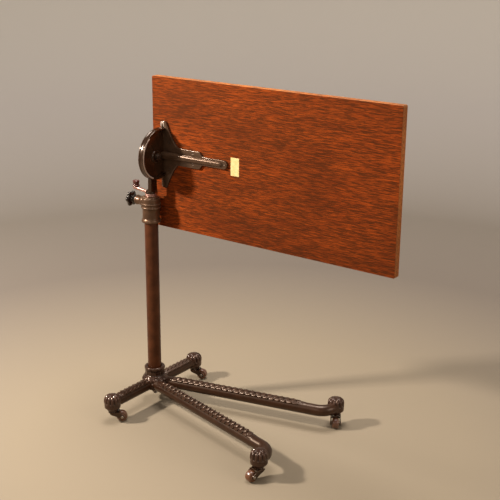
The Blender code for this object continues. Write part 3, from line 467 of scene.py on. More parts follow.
def mixed(tree, factor, one, two, blend="MIX"):
    """Two colours mixed by a factor; each is a socket or a colour."""
    entries = {0: factor, 6: one, 7: two}          # the colour mix's own sockets
    return add(tree, "ShaderNodeMix", entries, data_type="RGBA", blend_type=blend).outputs[2]


def group(name, inputs, outputs):
    """An empty shader node group with its sockets; returns the tree and its two end nodes."""
    tree = bpy.data.node_groups.new(name, "ShaderNodeTree")
    for side, sockets in (("INPUT", inputs), ("OUTPUT", outputs)):
        for socket, kind in sockets:
            tree.interface.new_socket(socket, in_out=side, socket_type="NodeSocket" + kind)
    return tree, add(tree, "NodeGroupInput"), add(tree, "NodeGroupOutput")


def edge_wear_group():
    """Colour of a handled casting: worn edges, a darker colour in the hollows, a slight mottle and its
    height.
    """
    tree, start, end = group(
        "Edge wear",
        (("Colour", "Color"), ("Worn", "Color"), ("Hollow colour", "Color"), ("Amount", "Float"),
         ("Roughness", "Float")),
        (("Colour", "Color"), ("Roughness", "Float"), ("Height", "Float")))
    given = start.outputs
    point = point_of(tree)
    coarse = noise(tree, point, 46.0, 3.0)
    fine = noise(tree, point, 420.0, 3.0)
    wear = wear_of(tree)
    patch = math_node(tree, "MULTIPLY_ADD", coarse, 1.6, -0.15)
    edge = math_node(tree, "MULTIPLY", wear, patch, clamp=True)
    edge = math_node(tree, "MULTIPLY", edge, given["Amount"], clamp=True)
    hollow = math_node(tree, "MULTIPLY", wear, -2.2, clamp=True)
    mottle = ramp(tree, coarse, ((0.3, (0.72, 0.7, 0.68)), (0.7, (1.22, 1.2, 1.16))))
    hollow_darkened = mixed(tree, hollow, mixed(tree, 1.0, given["Colour"], mottle, "MULTIPLY"), given["Hollow colour"])
    rough = math_node(tree, "MULTIPLY_ADD", fine, 0.1, given["Roughness"])
    rough = math_node(tree, "MULTIPLY_ADD", hollow, 0.25, math_node(tree, "SUBTRACT", rough, 0.05))
    feed(tree, end, {"Colour": mixed(tree, edge, hollow_darkened, given["Worn"]), "Roughness": rough,
                     "Height": math_node(tree, "MULTIPLY_ADD", coarse, 2.0, fine)})
    return tree


def wood_group():
    """Wood figure along the X axis: broad bands, fine streaks, short dark pores, and their height."""
    tree, start, end = group(
        "Wood figure",
        (("Vector", "Vector"), ("Dark", "Color"), ("Middle", "Color"), ("Light", "Color")),
        (("Colour", "Color"), ("Pores", "Float"), ("Height", "Float")))
    given = start.outputs
    masks = []
    for scale, stretch, detail, distortion in ((9.0, 0.3, 4.0, 0.5), (400.0, 0.055, 3.0, 0.02),
                                               (680.0, 0.055, 2.0, 0.0), (3.2, 0.7, 2.0, 0.0)):
        drawn_out = add(tree, "ShaderNodeMapping", {"Vector": given["Vector"], "Scale": (stretch, 1.0, 1.0)})
        masks.append(noise(tree, drawn_out.outputs["Vector"], scale, detail, 0.62, distortion))
    bands, streaks, pores, cloud = masks
    figure = math_node(tree, "MULTIPLY_ADD", bands, 0.42, math_node(tree, "MULTIPLY", streaks, 0.58))
    ground = ramp(tree, figure, ((0.39, (0.0, 0.0, 0.0)), (0.61, (1.0, 1.0, 1.0))))
    colour = mixed(tree, ground, given["Middle"], given["Light"])
    shade = ramp(tree, cloud, ((0.35, (0.62, 0.6, 0.6)), (0.62, (1.0, 1.0, 1.0))))
    colour = mixed(tree, 1.0, colour, shade, "MULTIPLY")
    pore = ramp(tree, pores, ((0.46, (1.0, 1.0, 1.0)), (0.56, (0.0, 0.0, 0.0))))
    colour = mixed(tree, math_node(tree, "MULTIPLY", pore, 0.85), colour, given["Dark"])
    height = math_node(tree, "SUBTRACT", math_node(tree, "MULTIPLY", streaks, 0.5), pore)
    feed(tree, end, {"Colour": colour, "Pores": pore, "Height": height})
    return tree


EDGE_WEAR = edge_wear_group()
WOOD = wood_group()


def principled(name):
    """A new material; returns it with its tree and shader."""
    made = bpy.data.materials.new(name)
    made.use_nodes = True
    return made, made.node_tree, made.node_tree.nodes["Principled BSDF"]


def bumped(tree, shader, height, strength, distance):
    """Feed a height into the shader's normal."""
    bump = add(tree, "ShaderNodeBump", {"Strength": strength, "Distance": distance, "Height": height})
    feed(tree, shader, {"Normal": bump.outputs["Normal"]})


def casting(name, colour, worn, amount=0.6, roughness=0.3, metallic=0.35, coat=0.6, bump=0.25,
            specular=0.5):
    """Enamelled, bronzed or bare metal with worn edges, from the edge wear group."""
    made, tree, shader = principled(name)
    # hollows darken to three tenths of the colour
    hollow_colour = [value * 0.3 for value in colour]
    wear = add(tree, "ShaderNodeGroup", {"Colour": colour, "Worn": worn, "Hollow colour": hollow_colour, "Amount": amount,
                                         "Roughness": roughness}, node_tree=EDGE_WEAR).outputs
    feed(tree, shader, {"Base Color": wear["Colour"], "Roughness": wear["Roughness"], "Metallic": metallic,
                        "Coat Weight": coat, "Coat Roughness": 0.12, "Specular IOR Level": specular,
                        "Specular Tint": WARM_TINT})
    bumped(tree, shader, wear["Height"], bump, 0.0002)
    return made


def wooden(name, dark, middle, light, worn, roughness, coat, scale=1.0, specular=0.5):
    """Varnished wood from the wood group, paler where its edges are worn."""
    made, tree, shader = principled(name)
    scaled = add(tree, "ShaderNodeMapping", {"Vector": point_of(tree), "Scale": (scale, scale, scale)})
    wood = add(tree, "ShaderNodeGroup", {"Vector": scaled.outputs["Vector"], "Dark": dark, "Middle": middle,
                                         "Light": light}, node_tree=WOOD).outputs
    worn_share = math_node(tree, "MULTIPLY", wear_of(tree), 0.75, clamp=True)
    feed(tree, shader, {"Base Color": mixed(tree, worn_share, wood["Colour"], worn),
                        "Roughness": math_node(tree, "MULTIPLY_ADD", wood["Pores"], 0.25, roughness),
                        "Coat Weight": coat, "Coat Roughness": 0.25, "Specular IOR Level": specular})
    bumped(tree, shader, wood["Height"], 0.12, 0.0003)
    return made


IRON = casting("Bronzed iron", (0.026, 0.0085, 0.0045), (0.3, 0.17, 0.115), 0.6, 0.28, 0.25, 0.3)
LEG_IRON = casting("Bronzed leg iron", (0.024, 0.008, 0.003), (0.26, 0.15, 0.1), 0.45, 0.32, 0.1, 0.03, 0.2)
DARK_IRON = casting("Dark bronzed iron", (0.018, 0.0062, 0.0018), (0.22, 0.12, 0.07), 0.25, 0.2, 0.1,
                    0.2, 0.1)
# the arm's iron is paler than the disc's, though both are one casting: painted light on the arm, which also
# has worn edges
PALER_ARM_IRON = casting("Arm iron painted paler", (0.068, 0.036, 0.02), (0.26, 0.17, 0.12), 0.3, 0.3, 0.4, 0.2, 0.04)
# pale iron for painted highlights: the bright arc on the rim's rubbed lip and the lit patch on the wing's tip
HIGHLIGHT_IRON = casting("Iron with painted highlights", (0.42, 0.33, 0.27), (0.6, 0.5, 0.42), 0.6, 0.3, 0.4, 0.1, 0.1)
TUBE_IRON = casting("Brown enamelled tube", (0.05, 0.0135, 0.004), (0.2, 0.07, 0.035), 0.5, 0.36, 0.0,
                    0.0, 0.12, 0.25)
BRONZE = casting("Worn bronze", (0.092, 0.046, 0.024), (0.4, 0.28, 0.2), 0.65, 0.38, 0.5, 0.15)
STRAP = casting("Rubbed strap", (0.36, 0.19, 0.15), (0.66, 0.44, 0.38), 0.8, 0.3, 0.6, 0.2)
STEEL = casting("Darkened steel", (0.26, 0.22, 0.19), (0.55, 0.48, 0.42), 0.7, 0.3, 1.0, 0.0)
DARK_STEEL = casting("Browned steel", (0.05, 0.03, 0.02), (0.22, 0.15, 0.11), 0.6, 0.3, 0.7, 0.2)
BRASS = casting("Plain brass", (0.5, 0.32, 0.12), (0.75, 0.52, 0.24), 0.6, 0.3, 1.0, 0.0)
BLACK = casting("Black moulding", (0.006, 0.005, 0.005), (0.05, 0.045, 0.04), 0.4, 0.14, 0.0, 0.6, 0.1)
MAROON = casting("Maroon moulding", (0.06, 0.008, 0.007), (0.32, 0.09, 0.08), 0.5, 0.2, 0.0, 0.6, 0.1)
FIBRE = casting("Pressed fibre", (0.09, 0.04, 0.025), (0.15, 0.08, 0.05), 0.3, 0.85, 0.0, 0.0)
MAHOGANY = wooden("Varnished mahogany", (0.024, 0.003, 0.0006), (0.148, 0.0162, 0.001),
                  (0.345, 0.052, 0.0036), (0.42, 0.17, 0.07), 0.42, 0.0, 1.0, 0.0)
# paler wood for the board's edges: worn wood, and painted light on the lit edges
WORN_LIT_BOARD_EDGE = wooden("Board edge worn and painted lit", (0.06, 0.016, 0.005), (0.48, 0.118, 0.016), (0.64, 0.205, 0.032),
                    (0.5, 0.27, 0.13), 0.45, 0.0, 1.0, 0.1)
WALNUT = wooden("Varnished wheel wood", (0.03, 0.009, 0.003), (0.09, 0.024, 0.006), (0.2, 0.056, 0.014),
                (0.42, 0.2, 0.09), 0.22, 0.7, 3.0)


def label_paper():
    """Cream paper, a little yellower and rougher in patches."""
    made, tree, shader = principled("Cream paper")
    patches = noise(tree, point_of(tree), 120.0)
    colour = ramp(tree, patches, ((0.35, (0.6, 0.47, 0.17)), (0.65, (0.71, 0.57, 0.25))))
    feed(tree, shader, {"Base Color": colour, "Roughness": 0.65})
    bumped(tree, shader, patches, 0.2, 0.0002)
    return made


# Pieces of the table

def leaf_relief(distance, angle, count):
    """Height of the leaf rope, 0 to 1, over the bar's top.

    distance runs from 0 to 1 along the rope, angle is 0 on the crest. Three rows of leaves, each with
    height (0.08 + 0.92 a) (1 - b^2)^0.45, a along the leaf and b across it; the highest leaf shows.
    """
    best = np.zeros(np.broadcast(distance, angle).shape)
    rows = ((0.0, 0.0, 0.42, 0.0, 1.0), (0.5, 0.4, 0.36, 0.28, 0.86), (0.5, -0.4, 0.36, -0.28, 0.86))
    for offset, middle, half_width, drift, size in rows:
        for overlap in (0.0, 1.0):
            share = ((distance * count - offset) % 1.0 + overlap) / LEAF_LENGTH
            width = half_width * np.sqrt(np.clip(1.0 - np.clip(share, 0.0, 1.0) ** 3, 0.0, 1.0)) + 0.02
            b = (angle - middle - drift * share) / width
            inside = np.clip(1.0 - b ** 2, 0.0, 1.0) * (share < 1.0)
            vein = 0.14 * np.exp(-(b / 0.16) ** 2)
            lift = size * ((0.08 + 0.92 * share) * inside ** 0.45 - vein * (inside > 0))
            best = np.maximum(best, lift)
    return best


def leg(start, heading, length, bend, bend_radius, rope):
    """A leg's bar: a round section carried along a straight and then an arc, with the rope on top."""
    straight = np.linspace(0.0, length, int(length / LEAF_PITCH * ROWS_A_LEAF))
    turn = np.linspace(0.0, bend, BEND_STEPS)[1:]
    side = 1.0 if heading >= 0 else -1.0
    lean = abs(heading)
    x = np.concatenate([straight * math.cos(lean),
                        length * math.cos(lean) + bend_radius * (np.sin(lean + turn) - math.sin(lean))])
    y = np.concatenate([straight * math.sin(lean),
                        length * math.sin(lean) + bend_radius * (math.cos(lean) - np.cos(lean + turn))])
    way = np.concatenate([np.full(len(straight), lean), lean + turn])
    distance = np.concatenate([straight, length + bend_radius * turn])
    around = np.linspace(0.0, math.tau, SIDES, endpoint=False)[None, :]
    from_top = np.arctan2(np.sin(around - math.pi / 2), np.cos(around - math.pi / 2))
    low, high = rope
    share = (distance[:, None] - low) / (high - low)
    fade = np.clip(share / ROPE_FADE, 0, 1) * np.clip((1 - share) / ROPE_FADE, 0, 1)
    count = round((high - low) / LEAF_PITCH)
    lift = LEAF_H * leaf_relief(np.clip(share, 0, 1), from_top, count) * fade
    radius = BAR_R + lift
    across = radius * np.cos(around)
    points = np.stack([start[0] + x[:, None] - np.sin(way)[:, None] * across,
                       side * (y[:, None] + np.cos(way)[:, None] * across),
                       BAR_Z + radius * np.sin(around)], axis=-1)
    points[..., 1] += start[1]
    return grid(points, caps=True)


def melon_head(x, y):
    """Fluted head: r = R p(z) - depth f(z) (1 - |sin(6 a)|), a lobed dome that overhangs its drum."""
    shares = ((0.0, 0.0), (0.62, 0.0), (0.66, 0.0056), (0.9, 0.009), (0.965, 0.0118), (0.965, 0.0236),
              (1.0, 0.0258), (1.0, 0.0318), (0.965, 0.0372), (0.86, 0.0424), (0.62, 0.0466), (0.3, 0.0483),
              (0.16, HEAD_H), (0.0, HEAD_H))
    profile = finer(rounded([(HEAD_R * share, HEAD_LOW_Z + height) for share, height in shares], 0.004, 5), 2)

    def lobes(angle, height, radius):
        rise = np.clip((height - HEAD_LOW_Z - 0.0242) * 400, 0, 1)
        depth = rise * np.clip(radius / HEAD_R * 2.2 - 0.42, 0, 1)
        return -LOBE_DEPTH * depth * (1 - np.abs(np.sin(HEAD_LOBES / 2 * angle)))

    return moved(turned(profile, sides=FINE_SIDES, relief=lobes), (x, y, 0.0))


def hub():
    """Boss with vertical flutes between two rings, over a skirt of round lobes."""
    bore, step, top = TUBE_R + GAP, HUB_STEP_Z, HUB_TOP_Z
    profile = rounded(((0.0, HUB_BOTTOM_Z), (HUB_R, HUB_BOTTOM_Z), (SKIRT_R, HUB_BOTTOM_Z + 0.005),
                       (SKIRT_R, 0.062), (SKIRT_R + 0.0006, 0.0685), (SKIRT_R - 0.0015, 0.0728),
                       (HUB_R + 0.003, step), (HUB_R + 0.003, step + 0.0025), (HUB_R, step + 0.004),
                       (HUB_R, top - 0.0095), (HUB_R + 0.0016, top - 0.008), (HUB_R + 0.0016, top - 0.0022),
                       (HUB_R - 0.001, top), (bore + 0.0026, top), (bore, top - 0.0026),
                       (bore, top - 0.02), (0.0, top - 0.02)), 0.0014, 5)

    def ornament(angle, height, radius):
        boss = np.clip((height - step - 0.0035) * 500, 0, 1) * np.clip((top - 0.0092 - height) * 500, 0, 1)
        flute = -0.0014 * boss * np.abs(np.cos(HUB_FLUTES / 2 * angle)) ** 0.5
        skirt = np.clip((height - 0.06) * 300, 0, 1) * np.clip((step - 0.0005 - height) * 500, 0, 1)
        lobe = -0.0024 * skirt * (1 - np.abs(np.sin(HUB_FLUTES / 2 * angle)))
        return np.where(radius > HUB_R - 0.003, flute + lobe, 0.0)

    return turned(finer(profile, 5), sides=FINE_SIDES, relief=ornament)


def base():
    """Hub, legs and heads as castings of one body."""
    slope = math.cos(LEG_SPLAY)
    run_x = LONG_HEAD[0] - LEG_STRAIGHT_X
    run_y = LONG_HEAD[1] - LEG_START_Y - math.tan(LEG_SPLAY) * LEG_STRAIGHT_X
    bend = 2 * (math.atan2(run_y, run_x) - LEG_SPLAY)
    bend_radius = math.hypot(run_x, run_y) / (2 * math.sin(bend / 2))
    nodes = ("base_casting",)
    piece("hub", [hub()], IRON, "base", nodes)
    rope = (ROPE_START / slope, LONG_ROPE_END / slope)
    for name, side in (("front", -1.0), ("right", 1.0)):
        shape = leg((0.0, side * LEG_START_Y), side * LEG_SPLAY, LEG_STRAIGHT_X / slope, bend, bend_radius,
                    rope)
        piece("leg_" + name, [shape], LEG_IRON, "base", nodes)
    for name, side in (("near", -1.0), ("back", 1.0)):
        shape = leg((0.0, 0.0), 0.0, SHORT_HEAD_Y, 0.001, 0.001, (ROPE_START, SHORT_ROPE_END))
        piece("arm_" + name, [moved(shape, turn=side * math.pi / 2)], LEG_IRON, "base", nodes)
    for name, x, y in FEET:
        piece("head_" + name, [melon_head(x, y)], IRON, "base", nodes)


def column():
    """Column tube with rounded lips, the inner post, and the stud, washer and nut under the hub."""
    tube = block((TUBE_BORE_R, TUBE_R), (TUBE_FOOT_Z, TUBE_TOP_Z), 0.0005)
    piece("column", [turned(tube, closed=True)], TUBE_IRON, "base", ("column_tube",))
    top = COLLAR_TOP_Z
    post = rounded(((POST_BORE_R, top - POST_L), (POST_R, top - POST_L), (POST_R, top), (SOCKET_R, top),
                    (SOCKET_R, top - SOCKET_DEPTH), (POST_BORE_R, top - SOCKET_DEPTH)), 0.0005, 3, True)
    piece("post", [turned(post, closed=True)], STEEL, "post", ("inner_post",))
    washer = block((STUD_R + GAP, 0.0118), (0.0355, 0.0377), 0.0006)
    piece("stud_washer", [turned(washer, closed=True)], STEEL, "base", ("foot_washer",))
    piece("stud_nut", [hexagonal(0.019, 0.0252, 0.0352, "Z")], IRON, "base", ("foot_nut",))
    plug = ((0.0, 0.0355), (STUD_R, 0.0355), (STUD_R, TUBE_FOOT_Z), (0.015, TUBE_FOOT_Z), (0.015, 0.0863),
            (0.0, 0.0863))
    stud = [threaded(STUD_R, 0.019, 0.036, "Z"), turned(plug)]
    piece("stud", stud, STEEL, "base", ("column_plug",))


def collar():
    """Clamp collar: flange, sleeve with grooves, beaded body, and a bored boss that flares from it."""
    low, step, top, wide = FLANGE_Z, TUBE_TOP_Z, COLLAR_TOP_Z, COLLAR_R
    body = rounded(((TUBE_R + GAP, low), (FLANGE_R - 0.001, low), (FLANGE_R, low + 0.002),
                    (FLANGE_R, low + 0.005), (SLEEVE_R + 0.0016, low + 0.0085), (SLEEVE_R, low + 0.011),
                    (SLEEVE_R - 0.0004, step - 0.006), (SLEEVE_R, step), (wide - 0.0004, step + 0.0026),
                    (wide + 0.0014, step + 0.0038), (wide + 0.0014, step + 0.0062),
                    (wide - 0.0002, step + 0.0074), (wide - 0.0002, CLAMP_Z - 0.0048),
                    (wide + 0.0014, CLAMP_Z - 0.0036), (wide + 0.0014, CLAMP_Z - 0.0012),
                    (wide - 0.0002, CLAMP_Z), (wide - 0.0006, top - 0.0046), (wide - 0.004, top - 0.0026),
                    (wide - 0.004, top - 0.001), (wide - 0.005, top), (BORE_R + GAP, top),
                    (BORE_R + GAP, step + 0.0003), (TUBE_R + GAP, step + 0.0003)), 0.0012, 4, True)
    tap, end = SCREW_R + 0.0002, -BOSS_END
    boss = rounded(((tap, end), (BOSS_R - 0.0012, end), (BOSS_R, end + 0.0014),
                    (BOSS_R - 0.0012, end + 0.0046), (BOSS_R - 0.0016, -wide - 0.008),
                    (BOSS_R + 0.002, -wide + 0.0005), (BOSS_R + 0.002, -wide + 0.006),
                    (tap, -wide + 0.006)), 0.003, 5, True)
    shapes = [turned(body, closed=True), *raised(CLAMP_Z, turned(boss, "X", closed=True))]
    piece("collar", shapes, BRONZE, "base", ("clamp_collar",))


def clamp():
    """Knob with six lobes and a dished face, and the threaded screw that carries it."""
    start, back, front, wide = -KNOB_START, -KNOB_BACK, -KNOB_FRONT, KNOB_R
    profile = rounded(((0.0, start), (0.0082, start), (0.009, start - 0.001), (0.009, back + 0.0008),
                       (wide * 0.7, back), (wide * 0.94, back - 0.0012), (wide, back - 0.0036),
                       (wide, front + 0.0036), (wide * 0.94, front + 0.0008), (wide * 0.72, front),
                       (wide * 0.5, front + 0.0022), (0.0076, front + 0.0018), (0.0068, front - 0.001),
                       (0.0052, front - 0.002), (0.0041, front - 0.001), (0.0, front - 0.001)), 0.0014, 5)

    def lobes(angle, height, radius):
        return -KNOB_DIP * np.clip(radius / wide * 1.6 - 0.6, 0, 1) * (1 - np.cos(KNOB_LOBES * angle)) / 2

    knob = turned(profile, "X", FINE_SIDES, relief=lobes)
    piece("knob", raised(CLAMP_Z, knob), BLACK, "clamp_knob", ("clamp_knob",))
    end_cap = ((0.0, front - 0.0019), (0.003, front - 0.0017), (0.0036, front - 0.0006),
               (0.0, front - 0.0006))
    screw = raised(CLAMP_Z, threaded(SCREW_R, -0.062, -0.0192, "X"), turned(end_cap, "X", SMALL_SIDES))
    piece("knob_screw", screw, STEEL, "clamp_knob", ("clamp_screw",))


def lock_lever():
    """Lock ring with a groove round its rim, a strap that rises to its end, and the turned grip."""
    low, wide = RING_LOW_Z, RING_R
    ring = rounded(((STEM_R + GAP, low), (wide - 0.0006, low), (wide, low + 0.001), (wide, low + 0.003),
                    (wide - 0.001, low + 0.0038), (wide, low + 0.0046), (wide, low + RING_H - 0.0012),
                    (wide - 0.002, low + RING_H), (STEM_R + GAP, low + RING_H)), 0.0007, 4, True)
    path = rounded([(-wide - run, LEVER_Z + LEVER_RISE * rise) for run, rise in (
        (-0.0005, 0.0), (0.004, 0.2), (0.0116, 0.45), (0.026, 0.8), (0.037, 1.0), (0.0475, 1.0))], 0.01, 10)
    share = np.linspace(0.0, 1.0, len(path))
    width = LEVER_HALF_W * (0.92 + 0.38 * share) * np.sqrt(np.clip((1 - share) * 14, 0.12, 1))
    section = block((-1.0, 1.0), (-1.0, 1.0), (0.7,), 6)
    across = section[None, :, 0] * width[:, None]
    thick = section[None, :, 1] * LEVER_HALF_T
    points = np.stack([np.broadcast_to(path[:, :1], across.shape), across, path[:, 1:] + thick], axis=-1)
    lever = [turned(ring, closed=True), grid(points, caps=True)]
    piece("lever", lever, STRAP, "lock_lever", ("lock_lever",))
    seat = LEVER_Z + LEVER_RISE + LEVER_HALF_T + GAP
    shares = ((0.0, 0.0), (0.86, 0.0), (1.0, 0.0012), (1.0, 0.0034), (0.8, 0.0048), (0.82, 0.0088),
              (0.96, 0.0142), (0.94, 0.016), (0.7, GRIP_H), (0.0, GRIP_H))
    grip = rounded([(GRIP_R * share, seat + height) for share, height in shares], 0.0016, 6)
    grip = moved(turned(grip), (-LEVER_REACH, 0.0, 0.0))
    piece("grip", [grip], MAROON, "lock_lever", ("lever_grip",))


def head_cheek():
    """Head casting: round foot on its stem, and the upright cheek that widens to the pivot's eye."""
    stem, shoulder, top = COLLAR_TOP_Z - 0.058, COLLAR_TOP_Z - 0.05, FOOT_TOP_Z
    foot = rounded(((0.0, stem), (STEM_END_R, stem), (STEM_END_R, shoulder), (STEM_R, shoulder),
                    (STEM_R, FOOT_LOW_Z), (FOOT_R, FOOT_LOW_Z), (FOOT_R, top - 0.002), (FOOT_R - 0.0025, top),
                    (0.0085, top + 0.0045), (0.0, top + 0.0045)), 0.001, 4)
    eye = np.radians(np.linspace(-52.0, 232.0, 72))
    outline = np.stack([EYE_HALF_W * np.cos(eye), PIVOT_Z + EYE_HALF_W * np.sin(eye)], axis=1)
    waist = np.array([(-0.012, top + 0.04), (-0.0128, top + 0.01), (-0.0134, top - 0.0012)])
    outline = np.concatenate([outline, waist, waist[::-1] * (-1, 1)])
    cheek = plate(rounded(outline, 0.004, 4, True), CHEEK_X[0], CHEEK_X[1], 0.0022, "X", 5)
    pad = rounded(((0.0, -0.0029), (0.0131, -0.0029), (0.0144, -0.0016), (0.015, 0.0023), (0.0, 0.0023)),
                  0.0008, 4)
    shapes = [turned(foot), cheek, *raised(PIVOT_Z, turned(pad, "X"))]
    piece("cheek", shapes, DARK_IRON, "head", ("head_casting",))
    shank = ((0.0, -0.004), (BOLT_R, -0.004), (BOLT_R, 0.03), (0.0, 0.03))
    washer = block((BOLT_R + GAP, 0.0088), (0.0258, 0.0272), 0.0004)
    for name, shapes, node in (
            ("bolt", (hexagonal(NUT_ACROSS, -0.0082, -0.0032, "X"), turned(shank, "X", SMALL_SIDES),
                      threaded(BOLT_R, 0.029, 0.0344, "X")), "pivot_bolt"),
            ("bolt_washer", (turned(washer, "X", closed=True),), "spring_washer"),
            ("bolt_nut", (hexagonal(NUT_ACROSS, 0.0275, 0.034, "X"),), "pivot_nut")):
        piece(name, raised(PIVOT_Z, *shapes), DARK_STEEL, "head", (node,))


def bracket_outline():
    """Outline of the plate: wing z = arm + (wing - arm) (1 - s)^1.5, then the stepped arm.

    s runs from 0 to 1 along the wing's foot.
    """
    s = np.linspace(0.0, 1.0, 26)[1:]
    wing = np.stack([WING_X[1] + (WING_FOOT_X - WING_X[1]) * s,
                     ARM_HALF_W + (WING_H - ARM_HALF_W) * (1 - s) ** 1.5], axis=1)
    start = rounded(((WING_X[0], 0.0), (WING_X[0], WING_H - 0.003), (WING_X[0] + 0.004, WING_H),
                     (WING_X[1] - 0.001, WING_H), tuple(wing[0])), 0.0018, 4)
    share = np.linspace(0.0, 1.0, 14)
    ease = share - np.sin(math.tau * share) / math.tau
    step = np.stack([ARM_STEP_X + 0.018 * share, ARM_HALF_W - (ARM_HALF_W - ARM_NARROW) * ease], axis=1)
    tip = np.radians(np.linspace(90.0, 0.0, 14))
    tip = np.stack([ARM_END_X - 0.0095 + 0.0095 * np.cos(tip), ARM_NARROW * np.sin(tip)], axis=1)
    half = np.concatenate([start[1:], wing[1:], step, tip])
    return np.concatenate([half, half[-2::-1] * (1, -1)])


def swelled(shape):
    """A shape round the pivot, drawn out by 1 + swell s^2; s grows from the disc's front up to the wing."""
    points, faces = shape
    angle = np.arctan2(points[:, 2], points[:, 1])
    share = np.clip((math.pi - angle) / (math.pi - SWELL_END), 0.0, 1.0) * (angle > 0.0)
    growth = 1.0 + DISC_SWELL * share[:, None] ** 2
    return np.concatenate([points[:, :1], points[:, 1:] * growth], axis=1), faces


def ribs():
    """Arm's rib, flat-topped between two shoulders, and the low rib up the wings."""
    share = np.linspace(0.0, 1.0, 60)[:, None]
    x = 0.0202 + (ARM_END_X - 0.0125 - 0.0202) * share
    height = 0.014 + (0.0045 - 0.014) * share
    width = 0.0096 + (0.0052 - 0.0096) * share
    close = np.sqrt(np.clip((1 - share) * 30, 0.02, 1))
    turn = np.linspace(0.0, math.pi, 33)[None, :]
    crest = np.clip(np.sin(turn), 0.0, 1.0) ** 0.35
    root = PLATE_Y[0]
    arm_rib = np.stack(np.broadcast_arrays(x, root + 0.001 - (height + 0.001) * crest * close,
                                           width * np.cos(turn) * close), axis=-1)
    wing_rib = rounded(((root + 0.002, -0.0885), (root + 0.002, 0.0885), (root - 0.0008, 0.0885),
                        (root - 0.008, 0.055), (root - 0.008, -0.055), (root - 0.0008, -0.0885)),
                       0.004, 4, True)
    return grid(arm_rib, caps=True), plate(wing_rib, WEB_X[0], WEB_X[0] + 0.004, 0.001, "X", 3)


def tilt_bracket():
    """Friction disc with its hollowed rim, web and boss, the winged plate, and the ribs."""
    inner, outer, eye = DISC_R - RIM_T, DISC_R, PIVOT_BOSS_R
    (low, high), (back, front), (start, end) = RIM_X, WEB_X, PIVOT_BOSS_X
    rim = rounded(((inner, low), (outer - 0.0004, low), (outer, low + 0.003), (outer - 0.0014, low + 0.0058),
                   (outer - 0.0014, high - 0.0062), (outer, high - 0.0036), (outer - 0.0006, high - 0.001),
                   (inner + 0.0003, high - 0.001)), 0.0019, 5, True)
    lip = rounded(((inner + 0.0002, high - 0.0018), (outer - 0.0014, high - 0.0018),
                   (outer - 0.0016, high - 0.0002), (outer - 0.003, high), (inner + 0.0014, high),
                   (inner, high - 0.0006)), 0.001, 4, True)
    arc = np.radians(np.linspace(*WEB_ARC, 120))
    web = np.stack([(inner + 0.0015) * np.cos(arc), (inner + 0.0015) * np.sin(arc)], axis=1)
    bead = rounded(((inner + 0.0004, front - 0.001), (inner + 0.0004, front + 0.0018),
                    (inner - 0.0022, front - 0.0002), (inner - 0.0022, front - 0.001)), 0.0012, 4, True)
    boss = rounded(((0.0, start), (eye, start), (eye, back + 0.001), (eye + 0.003, front - 0.0004),
                    (eye + 0.0004, front + 0.0004), (eye - 0.0006, end), (0.0, end)), 0.001, 5)
    swept = (swept_arc(rim, "X", *RIM_ARC, 150), plate(web, back, front, 0.0005, "X"),
             swept_arc(bead, "X", *WEB_ARC, 150))
    disc = raised(PIVOT_Z, *[swelled(shape) for shape in swept], turned(boss, "X"))
    # the disc takes the darkest iron, painted shade against the paler arm of the same casting
    piece("disc", disc, DARK_IRON, "board", ("tilt_bracket",))
    arm = raised(PIVOT_Z, plate(bracket_outline(), PLATE_Y[0], PLATE_Y[1], 0.001), *ribs())
    piece("arm", arm, PALER_ARM_IRON, "board", ("tilt_bracket",))
    # the lip's arc and the wing's tip are painted light: a highlight on the rubbed lip and a lit patch on the
    # tip
    lip = swelled(swept_arc(lip, "X", *LIP_HIGHLIGHT_ARC, 100))
    tip = rounded(((0.0132, 0.077), (0.0262, 0.077), (0.025, 0.091), (0.0155, 0.091), (0.0132, 0.0885)),
                  0.0015, 4, True)
    tip = plate(tip, PLATE_Y[0] - 0.0005, PLATE_Y[0] + 0.001, 0.0005)
    piece("painted_highlights", raised(PIVOT_Z, lip, tip), HIGHLIGHT_IRON, "board", ("tilt_bracket",))


def slotted_screw(x, z):
    """Countersunk wood screw whose flat head is two half-moons on either side of its slot."""
    top = PLATE_Y[0] - 0.0001
    turn = np.radians(np.linspace(8.0, 172.0, 24))
    moon = np.stack([SCREW_HEAD_R * np.cos(turn), SCREW_HEAD_R * np.sin(turn)], axis=1)
    halves = [plate(moon * (1, sign), top, top + 0.001, 0.0002, "Y", 2) for sign in (1, -1)]
    cone = turned(((0.0, top + 0.0009), (0.004, top + 0.0009), (0.0022, top + 0.003), (0.0022, top + 0.0138),
                   (0.0, top + 0.0158)), "Y", SMALL_SIDES)
    return [moved(shape, (x, 0.0, PIVOT_Z + z)) for shape in (*halves, cone)]


def board():
    """Board with rounded corners and edges, its screws, and the blank paper label under it."""
    middle = PIVOT_Z + BOARD_RISE
    outline = block(BOARD_X, (middle - BOARD_HALF_W, middle + BOARD_HALF_W), 0.005, 8)
    shape = plate(outline, BOARD_Y, BOARD_Y + BOARD_T, 0.0016, "Y", 5)
    made = piece("board", [shape], MAHOGANY, "board", ("reading_board",))
    # edge faces take the paler edge wood: worn, and painted lit
    made.data.materials.append(WORN_LIT_BOARD_EDGE)
    for face in made.data.polygons:
        face.material_index = int(abs(face.normal.y) < 0.7)
    for number, (x, z) in enumerate(SCREW_PLACES, 1):
        node = "bracket_screw_%d" % number
        piece("screw_%d" % number, slotted_screw(x, z), DARK_STEEL, "board", (node,))
    paper = block(LABEL_X, LABEL_Z, 0.0006)
    points, faces = plate(paper, BOARD_Y - 0.0004, BOARD_Y + 0.0002, 0.0001, "Y", 2)
    label = placed("label", surfaced("label", points + AXIS, faces, label_paper()))
    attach(label, "board")


